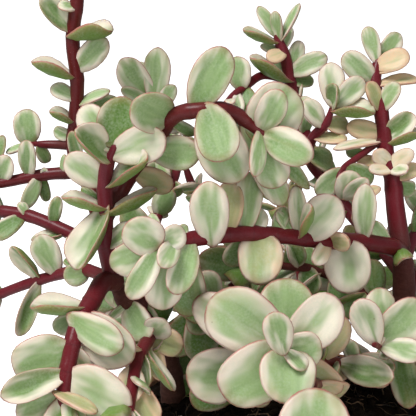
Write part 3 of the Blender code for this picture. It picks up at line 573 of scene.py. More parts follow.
class Tree:
    """Adds nodes to one shader tree and links them."""

    def __init__(self, tree):
        self.nodes = tree.nodes
        self.links = tree.links

    def feed(self, socket, value):
        """Links a socket to another one, or gives it a value; a colour has three parts."""
        if isinstance(value, bpy.types.NodeSocket):
            self.links.new(value, socket)
        elif socket.type == "RGBA":
            socket.default_value = (*value[:3], 1)
        else:
            socket.default_value = value

    def add(self, kind, inputs=(), **settings):
        node = self.nodes.new(kind)
        for name, value in settings.items():
            setattr(node, name, value)
        for key, value in dict(inputs).items():
            self.feed(node.inputs[key], value)
        return node

    def math(self, operation, first, second=0.0):
        return self.add("ShaderNodeMath", {0: first, 1: second}, operation=operation).outputs[0]

    def total(self, first, *others):
        for value in others:
            first = self.math("ADD", first, value)
        return first

    def less(self, first, second):
        return self.math("SUBTRACT", first, second)

    def times(self, first, second):
        return self.math("MULTIPLY", first, second)

    def clamped(self, value):
        return self.add("ShaderNodeClamp", {"Value": value}).outputs[0]

    def step(self, value, low, high, start=0.0, end=1.0):
        """A smooth run from start to end as the value goes from low to high."""
        node = self.add("ShaderNodeMapRange", {
            "Value": value, "From Min": low, "From Max": high, "To Min": start, "To Max": end,
        }, interpolation_type="SMOOTHSTEP")
        return node.outputs["Result"]

    def mix(self, share, first, second):
        """Two colours mixed; share 0 is all of the first."""
        node = self.add("ShaderNodeMix", data_type="RGBA")
        self.feed(node.inputs["Factor"], share)
        colours = [socket for socket in node.inputs if socket.type == "RGBA"]
        self.feed(colours[0], first)
        self.feed(colours[1], second)
        return next(socket for socket in node.outputs if socket.type == "RGBA")

    def noise(self, vector, scale, detail=2.0, seed=0.0):
        node = self.add("ShaderNodeTexNoise", {
            "Vector": vector, "W": seed, "Scale": scale, "Detail": detail,
        }, noise_dimensions="4D")
        return node.outputs["Fac"]

    def waver(self, vector, scale, detail, seed, size):
        """Noise that runs above and below nothing by about half of size."""
        return self.times(self.less(self.noise(vector, scale, detail, seed), 0.5), size)

    def vector(self, x, y, z=0.0):
        return self.add("ShaderNodeCombineXYZ", {0: x, 1: y, 2: z}).outputs[0]

    def parts(self, vector):
        return self.add("ShaderNodeSeparateXYZ", {0: vector}).outputs

    def attribute(self, name, kind="Fac"):
        return self.add("ShaderNodeAttribute", attribute_name=name).outputs[kind]

    def object_place(self):
        return self.add("ShaderNodeTexCoord").outputs["Object"]


def new_group(name, inputs, outputs):
    """A shader node group with the given sockets: its tree, its inputs and its output node."""
    group = bpy.data.node_groups.new(name, "ShaderNodeTree")
    kinds = {"value": "NodeSocketFloat", "colour": "NodeSocketColor", "vector": "NodeSocketVector"}
    for label, kind, default in inputs:
        socket = group.interface.new_socket(label, in_out="INPUT", socket_type=kinds[kind])
        if kind != "vector":
            socket.default_value = default
    for label, kind in outputs:
        group.interface.new_socket(label, in_out="OUTPUT", socket_type=kinds[kind])
    tree = Tree(group)
    sockets = tree.add("NodeGroupInput").outputs
    return tree, sockets, tree.add("NodeGroupOutput")


def group_node(tree, name, inputs):
    """Places a shared group in a material with its own values."""
    node = tree.add("ShaderNodeGroup", node_tree=bpy.data.node_groups[name])
    for key, value in inputs.items():
        tree.feed(node.inputs[key], value)
    return node.outputs


def variegation_group():
    """Leaf colours: a soft green middle on cream, streaks along the leaf and a thin red edge."""
    tree, ins, out = new_group("Variegation", [
        ("Across", "value", 0.0), ("Along", "value", 0.5), ("Rim", "value", 0.5),
        ("Upper", "value", 1.0), ("Extent", "value", 0.6), ("Depth", "value", 0.5),
        ("Lean", "value", 0.0), ("Vivid", "value", 0.3),
        ("Warmth", "value", 0.0), ("Seed", "value", 0.0), ("Cream", "colour", (0.7, 0.7, 0.5, 1)),
        ("Green", "colour", (0.3, 0.4, 0.2, 1)), ("Deep Green", "colour", (0.1, 0.2, 0.04, 1)),
        ("Vivid Green", "colour", (0.14, 0.27, 0.04, 1)),
        ("Edge", "colour", (0.4, 0.1, 0.1, 1)), ("Peach", "colour", (0.6, 0.4, 0.2, 1)),
    ], [("Color", "colour")])
    seed = ins["Seed"]
    place = tree.vector(ins["Across"], ins["Along"])
    stretched = tree.vector(tree.times(ins["Across"], 3.0), ins["Along"])

    # The underside is greener, and most of all on the vivid leaves.
    under = tree.step(ins["Upper"], -0.25, 0.25, 1.0, 0.0)
    vivid = tree.times(tree.total(under, 0.35), ins["Vivid"])
    extent = tree.total(ins["Extent"], tree.times(under, 0.2), tree.times(vivid, 0.25))

    # How far a point is from the middle of the green, with clouds and streaks in its edge.
    shift = tree.waver(place, 1.3, 1.0, seed, 1.6)
    middle = tree.less(ins["Across"], tree.total(shift, ins["Lean"]))
    clouds = tree.waver(place, 2.2, 1.0, tree.total(seed, 80.0), 1.2)
    streaks = tree.less(tree.noise(stretched, 1.5, 3.0, seed), 0.5)
    reach = tree.total(tree.times(tree.math("ABSOLUTE", middle), 0.4),
                       tree.times(ins["Rim"], 0.5), clouds, tree.times(streaks, 0.15))
    green = tree.step(tree.less(reach, extent), -0.45, 0.25, 1.0, 0.0)

    # The green deepens towards the leaf's foot: painted shade where the leaves crowd round the
    # stem.
    depth = tree.total(ins["Depth"], tree.times(under, 0.2), tree.times(vivid, 0.6),
                       tree.step(ins["Along"], 0.1, 0.5, 0.3, 0.0), tree.times(streaks, 0.9))
    shade = tree.mix(tree.clamped(vivid), ins["Deep Green"], ins["Vivid Green"])
    leaf = tree.mix(tree.clamped(depth), ins["Green"], shade)

    # Sunburnt patches, then the blush, the broken edge line and the red foot.
    scorch = tree.noise(place, 1.4, 1.0, tree.total(seed, 160.0))
    scorch = tree.step(tree.total(scorch, ins["Warmth"]), 0.55, 1.1)
    cream = tree.mix(tree.times(scorch, 0.8), ins["Cream"], ins["Peach"])
    leaf = tree.mix(tree.times(scorch, 0.35), leaf, ins["Peach"])
    colour = tree.mix(green, cream, leaf)
    patchy = tree.step(tree.noise(place, 3.0, 1.0, seed), 0.3, 0.6, 0.15, 0.85)
    for share in (tree.step(ins["Rim"], 0.6, 1.0, 0.0, 0.26),
                  tree.times(tree.step(ins["Rim"], 0.94, 0.99), patchy),
                  tree.step(ins["Along"], 0.01, 0.10, 0.45, 0.0)):
        colour = tree.mix(share, colour, ins["Edge"])
    tree.feed(out.inputs["Color"], colour)


def dust_group():
    """A powdery bloom that lightens a surface in fine grains."""
    tree, ins, out = new_group("Dust", [
        ("Place", "vector", None), ("Color", "colour", (0.5, 0.5, 0.5, 1)),
        ("Dust Color", "colour", (0.6, 0.65, 0.55, 1)), ("Amount", "value", 0.2),
        ("Grain", "value", 1500.0),
    ], [("Color", "colour"), ("Grains", "value")])
    patches = tree.step(tree.noise(ins["Place"], 160.0, 2.0), 0.35, 0.65)
    grains = tree.step(tree.noise(ins["Place"], ins["Grain"], 2.0), 0.35, 0.7)
    share = tree.times(grains, tree.total(tree.times(patches, 0.6), 0.4))
    amount = tree.clamped(tree.times(share, ins["Amount"]))
    tree.feed(out.inputs["Color"], tree.mix(amount, ins["Color"], ins["Dust Color"]))
    tree.feed(out.inputs["Grains"], grains)


def flecks_group():
    """Sparse small spots, as of scars, pores or grit."""
    tree, ins, out = new_group("Flecks", [
        ("Place", "vector", None), ("Spacing", "value", 300.0), ("Size", "value", 0.2),
        ("Rarity", "value", 0.5),
    ], [("Mask", "value")])
    cells = tree.add("ShaderNodeTexVoronoi", {"Vector": ins["Place"], "Scale": ins["Spacing"]})
    away = tree.less(cells.outputs["Distance"], ins["Size"])
    chosen = tree.math("GREATER_THAN", tree.parts(cells.outputs["Color"])[0], ins["Rarity"])
    tree.feed(out.inputs["Mask"], tree.times(tree.step(away, -0.08, 0.02, 1, 0), chosen))


def new_material(name):
    """A material with an empty tree, its Tree and its Principled shader."""
    made = bpy.data.materials.new(name)
    made.use_nodes = True
    made.node_tree.nodes.clear()
    tree = Tree(made.node_tree)
    shader = tree.add("ShaderNodeBsdfPrincipled")
    output = tree.add("ShaderNodeOutputMaterial")
    tree.links.new(shader.outputs[0], output.inputs["Surface"])
    return made, tree, shader


def relief(tree, shader, height, strength, distance):
    """Bump from a height, in metres of distance."""
    bump = tree.add("ShaderNodeBump", {
        "Height": height, "Strength": strength, "Distance": distance})
    tree.links.new(bump.outputs[0], shader.inputs["Normal"])


def leaf_material(values):
    """Fleshy variegated leaves with a powdery bloom and a few brown spots."""
    made, tree, shader = new_material("Leaf skin")
    across, along, rim = tree.parts(tree.attribute("leaf_place", "Vector"))
    extent, depth, warmth = tree.parts(tree.attribute("leaf_look", "Vector"))
    seed, lean, vivid = tree.parts(tree.attribute("leaf_sector", "Vector"))
    colours = group_node(tree, "Variegation", {
        "Across": across, "Along": along, "Rim": rim, "Upper": tree.attribute("leaf_upper"),
        "Extent": extent, "Depth": depth, "Warmth": warmth,
        "Seed": seed, "Lean": lean, "Vivid": vivid,
        "Cream": values.cream, "Green": values.green, "Deep Green": values.deep_green,
        "Vivid Green": values.vivid_green, "Edge": values.edge, "Peach": values.peach})
    place = tree.object_place()
    dusted = group_node(tree, "Dust", {
        "Place": place, "Color": colours["Color"], "Dust Color": values.bloom,
        "Amount": values.bloom_amount, "Grain": 1400.0})
    spots = group_node(tree, "Flecks", {
        "Place": place, "Spacing": 300.0, "Size": 0.11, "Rarity": 0.95})
    colour = tree.mix(tree.times(spots["Mask"], 0.45), dusted["Color"], values.scar)
    tree.feed(shader.inputs["Base Color"], colour)
    tree.feed(shader.inputs["Roughness"], tree.step(dusted["Grains"], 0.0, 1.0, 0.42, 0.58))
    shader.inputs["Specular IOR Level"].default_value = 0.35
    shader.inputs["Subsurface Weight"].default_value = values.flesh
    shader.inputs["Subsurface Radius"].default_value = (1.0, 0.8, 0.35)
    shader.inputs["Subsurface Scale"].default_value = 1.5 * MM
    relief(tree, shader, tree.noise(place, 900.0, 3.0), 0.15, 0.2 * MM)
    return made


def stem_material(values):
    """Crimson skin, blushed pink by age and turning to bark on the woody parts."""
    made, tree, shader = new_material("Stem skin")
    age, blush, ring = tree.parts(tree.attribute("stem_look", "Vector"))
    place = tree.object_place()
    patches = tree.noise(place, 170.0, 3.0)
    uneven = tree.times(tree.less(patches, 0.5), 0.7)
    skin = tree.mix(tree.clamped(tree.total(blush, uneven)), values.crimson, values.dusty_pink)
    fibres = tree.noise(place, 700.0, 4.0)
    bark = tree.mix(fibres, values.bark_dark, values.bark_light)
    colour = tree.mix(tree.clamped(tree.total(age, tree.times(uneven, 0.5))), skin, bark)
    scar = tree.step(tree.math("ABSOLUTE", ring), 0.1, 0.5, 0.22, 0.0)
    colour = tree.mix(scar, colour, values.scar)
    pores = group_node(tree, "Flecks", {
        "Place": place, "Spacing": 900.0, "Size": 0.14, "Rarity": 0.75})
    colour = tree.mix(tree.times(pores["Mask"], 0.2), colour, values.pore)
    dusted = group_node(tree, "Dust", {
        "Place": place, "Color": colour, "Dust Color": values.pore, "Amount": 0.05,
        "Grain": 1800.0})
    tree.feed(shader.inputs["Base Color"], dusted["Color"])
    tree.feed(shader.inputs["Roughness"], tree.step(age, 0.2, 0.9, 0.3, 0.8))
    shader.inputs["Specular IOR Level"].default_value = 0.2
    height = tree.total(tree.times(fibres, age), tree.times(patches, 0.4))
    relief(tree, shader, height, 0.5, 0.4 * MM)
    return made


def peat_material(values):
    """Dark damp clods with paler dry grains. Both peat colours are near-black: the peat's own dark
    tone deepened with painted shade.
    """
    made, tree, shader = new_material("Peat")
    place = tree.object_place()
    clods = tree.noise(place, 220.0, 5.0)
    colour = tree.mix(tree.step(clods, 0.35, 0.75), values.peat_dark_with_shade, values.peat_light_with_shade)
    grains = tree.noise(place, 1600.0, 3.0)
    colour = tree.mix(tree.step(grains, 0.66, 0.8, 0.0, 0.5), colour, values.fibre)
    tree.feed(shader.inputs["Base Color"], colour)
    shader.inputs["Roughness"].default_value = 0.9
    shader.inputs["Specular IOR Level"].default_value = 0.1
    relief(tree, shader, tree.total(clods, tree.times(grains, 0.4)), 0.9, 1.2 * MM)
    return made


def fibre_material(values):
    """Dry brown threads."""
    made, tree, shader = new_material("Peat fibre")
    shade = tree.step(tree.noise(tree.object_place(), 300.0, 2.0), 0.3, 0.7)
    # The threads darken to the peat colour, which carries painted shade.
    tree.feed(shader.inputs["Base Color"], tree.mix(shade, values.peat_dark_with_shade, values.fibre))
    shader.inputs["Roughness"].default_value = 0.7
    return made


def grit_material(values):
    """White puffed grains, darker in their pits with painted shade."""
    made, tree, shader = new_material("Perlite")
    pits = tree.noise(tree.object_place(), 1500.0, 3.0)
    colour = tree.mix(tree.step(pits, 0.3, 0.6), values.grit_shade, values.grit)
    tree.feed(shader.inputs["Base Color"], colour)
    shader.inputs["Roughness"].default_value = 0.85
    relief(tree, shader, pits, 0.8, 0.4 * MM)
    return made


def clay_material(values):
    """Turned terracotta with clouds of lime, most of it near the rim, and specks of sand."""
    made, tree, shader = new_material("Terracotta")
    place = tree.object_place()
    height = tree.parts(place)[2]
    clouds = tree.noise(place, 28.0, 4.0)
    colour = tree.mix(tree.step(clouds, 0.3, 0.7), values.clay_dark, values.clay)
    lime = tree.total(tree.noise(place, 60.0, 5.0),
                      tree.step(height, 0.0, POT_HEIGHT * MM, -0.16, 0.04))
    colour = tree.mix(tree.step(lime, 0.52, 0.72, 0.0, 0.45), colour, values.lime)
    grains = tree.noise(place, 1100.0, 3.0)
    colour = tree.mix(tree.step(grains, 0.6, 0.8, 0.0, 0.25), colour, values.clay_dark)
    sand = group_node(tree, "Flecks", {
        "Place": place, "Spacing": 420.0, "Size": 0.12, "Rarity": 0.8})
    colour = tree.mix(tree.times(sand["Mask"], 0.35), colour, values.lime)
    tree.feed(shader.inputs["Base Color"], colour)
    tree.feed(shader.inputs["Roughness"], tree.step(clouds, 0.3, 0.7, 0.78, 0.92))
    throwing = tree.noise(tree.vector(0.0, 0.0, height), 900.0, 2.0)
    relief(tree, shader, tree.total(tree.times(grains, 0.5), tree.times(throwing, 0.5)),
           0.45, 0.4 * MM)
    return made


def floor_material(values):
    """Pale round the pot, and fading to the white of the surroundings further out."""
    made, tree, shader = new_material("Pale floor")
    tree.feed(shader.inputs["Base Color"], values.floor)
    shader.inputs["Roughness"].default_value = 0.9
    shader.inputs["Specular IOR Level"].default_value = 0.1
    reach = tree.add("ShaderNodeVectorMath", {0: tree.object_place()}, operation="LENGTH")
    white = tree.step(reach.outputs["Value"], 0.1, values.fade * MM)
    seen = tree.add("ShaderNodeLightPath").outputs["Is Camera Ray"]
    glow = tree.mix(tree.times(white, seen), BLACK, WHITE)
    tree.feed(shader.inputs["Emission Color"], glow)
    shader.inputs["Emission Strength"].default_value = 1.0
    return made


def new_object(mesh, name):
    """An object in the scene from a bmesh, which is freed."""
    data = bpy.data.meshes.new(name)
    mesh.to_mesh(data)
    mesh.free()
    made = bpy.data.objects.new(name, data)
    bpy.context.scene.collection.objects.link(made)
    return made


def finished(mesh, name, material, slot, *nodes):
    """A piece from a bmesh, smooth-shaded, riding on the row's one body."""
    bmesh.ops.recalc_face_normals(mesh, faces=mesh.faces)
    piece = new_object(mesh, name)
    piece.data.shade_smooth()
    piece.data.materials.append(bpy.data.materials[material])
    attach(piece, "root")
    if nodes:
        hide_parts(*nodes)
    return piece


def ring_turns(path):
    """A rotation for each point of a path, turned as little as can be from one to the next."""
    heading = (path[1] - path[0]).normalized()
    turn = UP.rotation_difference(heading)
    turns = []
    for index in range(len(path)):
        ahead = path[min(index + 1, len(path) - 1)] - path[max(index - 1, 0)]
        ahead.normalize()
        turn = heading.rotation_difference(ahead) @ turn
        heading = ahead
        turns.append(turn)
    return turns


def sweep(mesh, path, radii, sides):
    """A closed tube through the points of a path; returns its rings of verts, foot first."""
    made = bmesh.ops.create_circle(mesh, cap_ends=True, segments=sides, radius=1)
    ring = made["verts"]
    edges = list({edge for vert in ring for edge in vert.link_edges})
    rings = []
    last = Matrix.Identity(4)
    for place, turn, radius in zip(path, ring_turns(path), radii):
        here = Matrix.LocRotScale(place, turn, (radius, radius, radius))
        if rings:
            geom = bmesh.ops.extrude_edge_only(mesh, edges=edges)["geom"]
            ring = [item for item in geom if isinstance(item, bmesh.types.BMVert)]
            fresh = set(ring)
            edges = [item for item in geom if isinstance(item, bmesh.types.BMEdge)
                     and fresh.issuperset(item.verts)]
        bmesh.ops.transform(mesh, matrix=here @ last.inverted(), verts=ring)
        rings.append(ring)
        last = here
    bmesh.ops.edgeloop_fill(mesh, edges=edges)
    return rings


def node_places(leaf_places, whole, spacing, chance):
    """Where node rings sit along a stem, in mm: at its leaves, and unevenly where it is bare."""
    places = []
    for along in sorted(leaf_places) + [whole]:
        if not places or along - places[-1] > spacing * NODE_GAP:
            places.append(along)
    full = []
    start = 0
    for end in places:
        parts = max(1, round((end - start) / spacing))
        for part in range(1, parts):
            full.append(start + (end - start) * (part + chance.uniform(*NODE_STRAY)) / parts)
        full.append(end)
        start = end
    return full


def grow_stem(name, route, leaf_places, values, slot):
    """One stem: a tapering tube, swollen at each node and ringed by a thin scar."""
    thick, thin, _ = STEMS[name]
    age, blush = STEM_LOOKS.get(name, COMMON_STEM)
    whole = length_of(route)
    chance = random.Random(f"{SEED} nodes {name}")
    nodes = node_places(leaf_places, whole, values.node_spacing, chance)
    path = []
    radii = []
    looks = []
    steps = max(4, round(whole / values.ring_step))
    for index in range(steps + 1):
        along = whole * index / steps
        place, _ = place_on(route, along * MM)
        gap = min((along - node for node in nodes), key=abs)
        swell = values.node_swell * math.exp(-((gap + SWELL_DROP) / SWELL_LENGTH) ** 2)
        groove = GROOVE_DEPTH * math.exp(-(gap / GROOVE_LENGTH) ** 2)
        knobs = age * KNOB_HEIGHT * (noise.noise(place * 260) + 0.5 * noise.noise(place * 700))
        taper = (thick + (thin - thick) * along / whole) / 2
        taper *= 1 - values.slim * max(0, 1 - (whole - along) / values.young)
        rounding = min(1, math.sqrt(max(0, (whole - along) / taper + 0.05)))
        path.append(place)
        radii.append(taper * (1 + swell - groove + knobs) * rounding * MM)
        woody = values.woody_foot * max(0, 1 - along / values.woody_length)
        looks.append((age * (1.15 - 0.3 * along / whole) + woody, blush, gap))
    mesh = bmesh.new()
    layer = mesh.verts.layers.float_vector.new("stem_look")
    for ring, look in zip(sweep(mesh, path, radii, values.stem_sides), looks):
        for vert in ring:
            vert[layer] = look
    return finished(mesh, f"{name}_stem", "Stem skin", slot, name)


def add_leaf(mesh, leaf, values, chance, fine):
    """Adds one fleshy leaf to a bmesh: a sphere pressed flat, narrowed at its base and cupped.

    A vert's angle about the leaf's face, from the tip, gives its place on the outline, and its
    distance from the middle of the face gives how near the rim it lies.
    """
    base, way, face, length, width, tone = leaf
    across = face.cross(way)
    set_mesh = BROAD_MESH if width > BROAD_LEAF * MM else NARROW_MESH
    sides, bands = set_mesh if fine else RULED_MESH
    place_layer = mesh.verts.layers.float_vector["leaf_place"]
    look_layer = mesh.verts.layers.float_vector["leaf_look"]
    sector_layer = mesh.verts.layers.float_vector["leaf_sector"]
    upper_layer = mesh.verts.layers.float["leaf_upper"]
    extent, depth, warmth, vivid, lean = TONES[tone]
    if vivid == 1:
        cup = values.boat * chance.uniform(0.8, 1.15)
        bow = values.boat_bow * chance.uniform(0.7, 1.2)
    else:
        cup = values.cup * chance.uniform(0.4, 1.6)
        bow = values.bow * chance.uniform(-1.0, 1.4)
    point = chance.uniform(0, 0.04)
    wave = chance.uniform(0, 2 * math.pi)
    sector = (chance.uniform(0, 60), lean or chance.uniform(-0.35, 0.35), vivid)
    look = (extent + chance.uniform(-0.1, 0.1), depth + chance.uniform(-0.12, 0.12), warmth)
    thickness = values.thin_part * MM + values.thick_share * width
    blade = min(length, max(values.blade * width, values.least_blade * length))
    widest = 1 - blade / length / 2
    taper = values.taper * (2 * widest * length / blade - 1)
    made = bmesh.ops.create_uvsphere(mesh, u_segments=sides, v_segments=bands, radius=1)
    for vert in made["verts"]:
        x, y, z = vert.co
        angle = math.atan2(y, x)
        rim = min(1, math.hypot(x, y)) ** 0.7
        ahead = math.cos(angle)
        side = math.sin(angle)
        full = (abs(ahead) ** FULLNESS + abs(side) ** FULLNESS) ** (-1 / FULLNESS)
        if ahead > 0:
            reach = (1 - widest) * ahead * full
        else:
            reach = widest * ahead * full
            side *= values.foot + (1 - values.foot) * math.sin(math.pi / 2 * (1 + ahead)) ** taper
        share = widest + rim * reach + point * max(0, ahead) ** 12 * rim
        side *= rim * full * (1 + 0.03 * math.sin(3 * angle + wave))
        lift = cup * width / 2 * (side * side - 0.3) + bow * length * (share - 0.4) ** 2
        pad = math.copysign(abs(z) ** 0.6, z) * thickness / 2 * min(1, 0.6 + share * 1.5)
        vert.co = base + way * share * length + across * side * width / 2 + face * (pad + lift)
        vert[place_layer] = (rim * math.sin(angle), share, rim)
        vert[look_layer] = look
        vert[sector_layer] = sector
        vert[upper_layer] = z


def grow_foliage(name, leaves, values):
    """All leaves of one shoot as one piece."""
    chance = random.Random(f"{SEED} leaves {name}")
    mesh = bmesh.new()
    for layer in ("leaf_place", "leaf_look", "leaf_sector"):
        mesh.verts.layers.float_vector.new(layer)
    mesh.verts.layers.float.new("leaf_upper")
    for leaf in leaves:
        tone = leaf[5] or chance.choice(TONE_MIX)
        add_leaf(mesh, (*leaf[:5], tone), values, chance, leaf[5] is not None)
    return finished(mesh, f"{name}_leaves", "Leaf skin", "foliage", name)


def lathe(mesh, profile, steps):
    """Turns a profile of radii and heights about the pot's axis (mm)."""
    verts = [mesh.verts.new((radius * MM, 0, height * MM)) for radius, height in profile]
    edges = [mesh.edges.new(pair) for pair in zip(verts, verts[1:])]
    bmesh.ops.spin(mesh, geom=verts + edges, cent=(0, 0, 0), axis=(0, 0, 1), dvec=(0, 0, 0),
                   angle=2 * math.pi, steps=steps, use_merge=True, use_duplicate=False)
    bmesh.ops.remove_doubles(mesh, verts=mesh.verts, dist=MERGE_GAP * MM)


def arc(centre, radius, start, end, parts):
    """Points of an arc in a profile, in degrees from its outward direction."""
    points = []
    for part in range(parts + 1):
        angle = math.radians(start + (end - start) * part / parts)
        points.append((centre[0] + radius * math.cos(angle), centre[1] + radius * math.sin(angle)))
    return points


class BushLeafSettings(bpy.types.PropertyGroup):
    """Shapes and colours of the leaves."""

    cup: FloatProperty(
        name="Cup", description="How far a leaf's sides rise, as a share of its half width",
        default=0.3, min=0, max=1)
    boat: FloatProperty(
        name="Boat", description="Cupping of the most vivid leaves", default=0.95)
    boat_bow: FloatProperty(
        name="Boat bow", description="How far those leaves curve up at both ends", default=0.45)
    foot: FloatProperty(
        name="Foot", description="Width of a leaf's foot as a share of its blade", default=0.28)
    bow: FloatProperty(
        name="Bow", description="How far a leaf bends along its length", default=0.15)
    thin_part: FloatProperty(
        name="Least thickness", description="Thickness that every leaf has (mm)", default=1.1)
    thick_share: FloatProperty(
        name="Thickness share", description="Thickness added per width of leaf", default=0.09)
    blade: FloatProperty(
        name="Blade", description="Length of a leaf's round blade as a share of its width",
        default=1.15)
    least_blade: FloatProperty(
        name="Least blade", description="Least length of the blade as a share of the leaf",
        default=0.78)
    taper: FloatProperty(
        name="Taper", description="How much a long leaf narrows towards its base", default=0.9)
    bud_size: FloatProperty(
        name="Bud size", description="Length of the young leaves at a stem's tip (mm)", default=5.5)
    flesh: FloatProperty(
        name="Flesh", description="Share of light that scatters inside a leaf", default=0.12,
        subtype="FACTOR")
    bloom_amount: FloatProperty(
        name="Bloom amount", description="Strength of the powdery bloom", default=0.25,
        subtype="FACTOR")
    cream: FloatVectorProperty(
        name="Cream", description="Colour of the pale margin", default=(0.86, 0.80, 0.65),
        subtype="COLOR")
    green: FloatVectorProperty(
        name="Green", description="Colour of the middle of a pale leaf",
        default=(0.38, 0.52, 0.24), subtype="COLOR")
    deep_green: FloatVectorProperty(
        name="Deep green", description="Colour of the streaks and the undersides",
        default=(0.085, 0.18, 0.03), subtype="COLOR")
    vivid_green: FloatVectorProperty(
        name="Vivid green", description="Colour of the fresh undersides",
        default=(0.15, 0.27, 0.04), subtype="COLOR")
    edge: FloatVectorProperty(
        name="Edge", description="Colour of the thin edge line", default=(0.46, 0.12, 0.12),
        subtype="COLOR")
    peach: FloatVectorProperty(
        name="Peach", description="Colour of sunburnt leaves", default=(0.74, 0.50, 0.27),
        subtype="COLOR")
    bloom: FloatVectorProperty(
        name="Bloom", description="Colour of the powdery bloom", default=(0.55, 0.62, 0.48),
        subtype="COLOR")
    scar: FloatVectorProperty(
        name="Spot", description="Colour of small brown spots", default=(0.16, 0.07, 0.03),
        subtype="COLOR")


class BushStemSettings(bpy.types.PropertyGroup):
    """Shapes and colours of the stems."""

    stem_sides: IntProperty(
        name="Sides", description="Sides of a stem", default=12, min=6)
    ring_step: FloatProperty(
        name="Ring step", description="Distance between the rings of a stem's mesh (mm)",
        default=0.9)
    young: FloatProperty(
        name="Young part", description="Length of the slim growth at a stem's tip (mm)",
        default=9)
    slim: FloatProperty(
        name="Slimness", description="How much thinner the very tip is", default=0.6,
        subtype="FACTOR")
    woody_foot: FloatProperty(
        name="Woody foot", description="How far a stem turns to bark at its foot", default=0.7,
        subtype="FACTOR")
    woody_length: FloatProperty(
        name="Woody length", description="Length of that part (mm)", default=11)
    node_spacing: FloatProperty(
        name="Node spacing", description="Distance between node rings (mm)", default=15)
    node_swell: FloatProperty(
        name="Node swelling", description="Swelling at a node as a share of the radius",
        default=0.07, subtype="FACTOR")
    crimson: FloatVectorProperty(
        name="Crimson", description="Colour of young stems", default=(0.12, 0.004, 0.007),
        subtype="COLOR")
    dusty_pink: FloatVectorProperty(
        name="Dusty pink", description="Colour of blushed stems", default=(0.17, 0.020, 0.034),
        subtype="COLOR")
    bark_dark: FloatVectorProperty(
        name="Dark bark", description="Darker colour of woody stems", default=(0.03, 0.012, 0.008),
        subtype="COLOR")
    bark_light: FloatVectorProperty(
        name="Light bark", description="Lighter colour of woody stems",
        default=(0.13, 0.055, 0.04), subtype="COLOR")
    scar: FloatVectorProperty(
        name="Scar", description="Colour of the ring at a node", default=(0.035, 0.01, 0.01),
        subtype="COLOR")
    pore: FloatVectorProperty(
        name="Pore", description="Colour of pores and dust", default=(0.42, 0.25, 0.26),
        subtype="COLOR")


class BushSoilSettings(bpy.types.PropertyGroup):
    """Amounts and colours of the soil."""

    crumbs: IntProperty(name="Crumbs", description="Number of peat crumbs", default=700)
    fibres: IntProperty(name="Fibres", description="Number of peat fibres", default=170)
    grains: IntProperty(name="Grit", description="Number of perlite grains", default=14)
    roughness: FloatProperty(
        name="Lumps", description="Height of the lumps in the soil (mm)", default=1.8)
    # Both peat colours are near-black: the peat's own dark tone deepened with painted shade.
    peat_dark_with_shade: FloatVectorProperty(
        name="Dark peat", description="Darker colour of the soil", default=(0.005, 0.003, 0.002),
        subtype="COLOR")
    peat_light_with_shade: FloatVectorProperty(
        name="Light peat", description="Lighter colour of the soil", default=(0.018, 0.010, 0.005),
        subtype="COLOR")
    fibre: FloatVectorProperty(
        name="Fibre", description="Colour of dry fibres", default=(0.12, 0.065, 0.03),
        subtype="COLOR")
    grit: FloatVectorProperty(
        name="Perlite", description="Colour of the grit", default=(0.78, 0.77, 0.72),
        subtype="COLOR")
    # The pits' colour is painted shade in the hollows of the grains.
    grit_shade: FloatVectorProperty(
        name="Perlite pits", description="Colour of the pits in the grit",
        default=(0.45, 0.42, 0.36), subtype="COLOR")


class BushPotSettings(bpy.types.PropertyGroup):
    """Sizes and colours of the pot (mm)."""

    rim_band: FloatProperty(name="Rim band", description="Height of the rim (mm)", default=15)
    rim_step: FloatProperty(
        name="Rim step", description="How far the rim stands out (mm)", default=3.5)
    base_radius: FloatProperty(
        name="Base radius", description="Radius at the foot (mm)", default=45)
    floor: FloatProperty(name="Floor", description="Thickness of the floor (mm)", default=6)
    foot_curve: FloatProperty(
        name="Foot curve", description="Rounding of the foot (mm)", default=1.6)
    holes: IntProperty(name="Drain holes", description="Number of drain holes", default=3)
    hole_radius: FloatProperty(
        name="Hole radius", description="Radius of a drain hole (mm)", default=4)
    hole_circle: FloatProperty(
        name="Hole circle", description="Distance of the holes from the middle (mm)", default=22)
    steps: IntProperty(name="Steps", description="Steps of the turned mesh", default=144)
    clay: FloatVectorProperty(
        name="Clay", description="Lighter colour of the clay", default=(0.52, 0.235, 0.13),
        subtype="COLOR")
    clay_dark: FloatVectorProperty(
        name="Dark clay", description="Darker colour of the clay", default=(0.36, 0.145, 0.075),
        subtype="COLOR")
    lime: FloatVectorProperty(
        name="Lime", description="Colour of the lime bloom", default=(0.68, 0.55, 0.45),
        subtype="COLOR")


class BushStageSettings(bpy.types.PropertyGroup):
    """Camera, lights and floor."""

    aim: FloatVectorProperty(
        name="Aim", description="Point that the camera looks at (mm)", default=(-28, 0, 157),
        subtype="XYZ")
    distance: FloatProperty(
        name="Distance", description="Distance of the camera from its aim (mm)", default=420)
    elevation: FloatProperty(
        name="Elevation", description="Angle above the horizon",
        default=math.radians(12), subtype="ANGLE")
    lens: FloatProperty(name="Lens", description="Focal length (mm)", default=109)
    key: FloatProperty(name="Key light", description="Power of the main light (W)", default=13.5)
    fill: FloatProperty(name="Fill light", description="Power of the front light (W)", default=2.6)
    ambient: FloatProperty(name="Ambient", description="Light of the surroundings", default=0.26)
    fade: FloatProperty(
        name="Fade", description="Distance at which the floor is all white (mm)", default=420)
    floor: FloatVectorProperty(
        name="Floor", description="Colour of the floor", default=(0.93, 0.93, 0.93),
        subtype="COLOR")


class BUSH_OT_materials(bpy.types.Operator):
    """Make the shared node groups and the materials"""

    bl_idname = "bush.materials"
    bl_label = "Materials"

    def execute(self, context):
        variegation_group()
        dust_group()
        flecks_group()
        scene = context.scene
        leaf_material(scene.bush_leaves)
        stem_material(scene.bush_stems)
        peat_material(scene.bush_soil)
        fibre_material(scene.bush_soil)
        grit_material(scene.bush_soil)
        clay_material(scene.bush_pot)
        floor_material(scene.bush_stage)
        return {"FINISHED"}


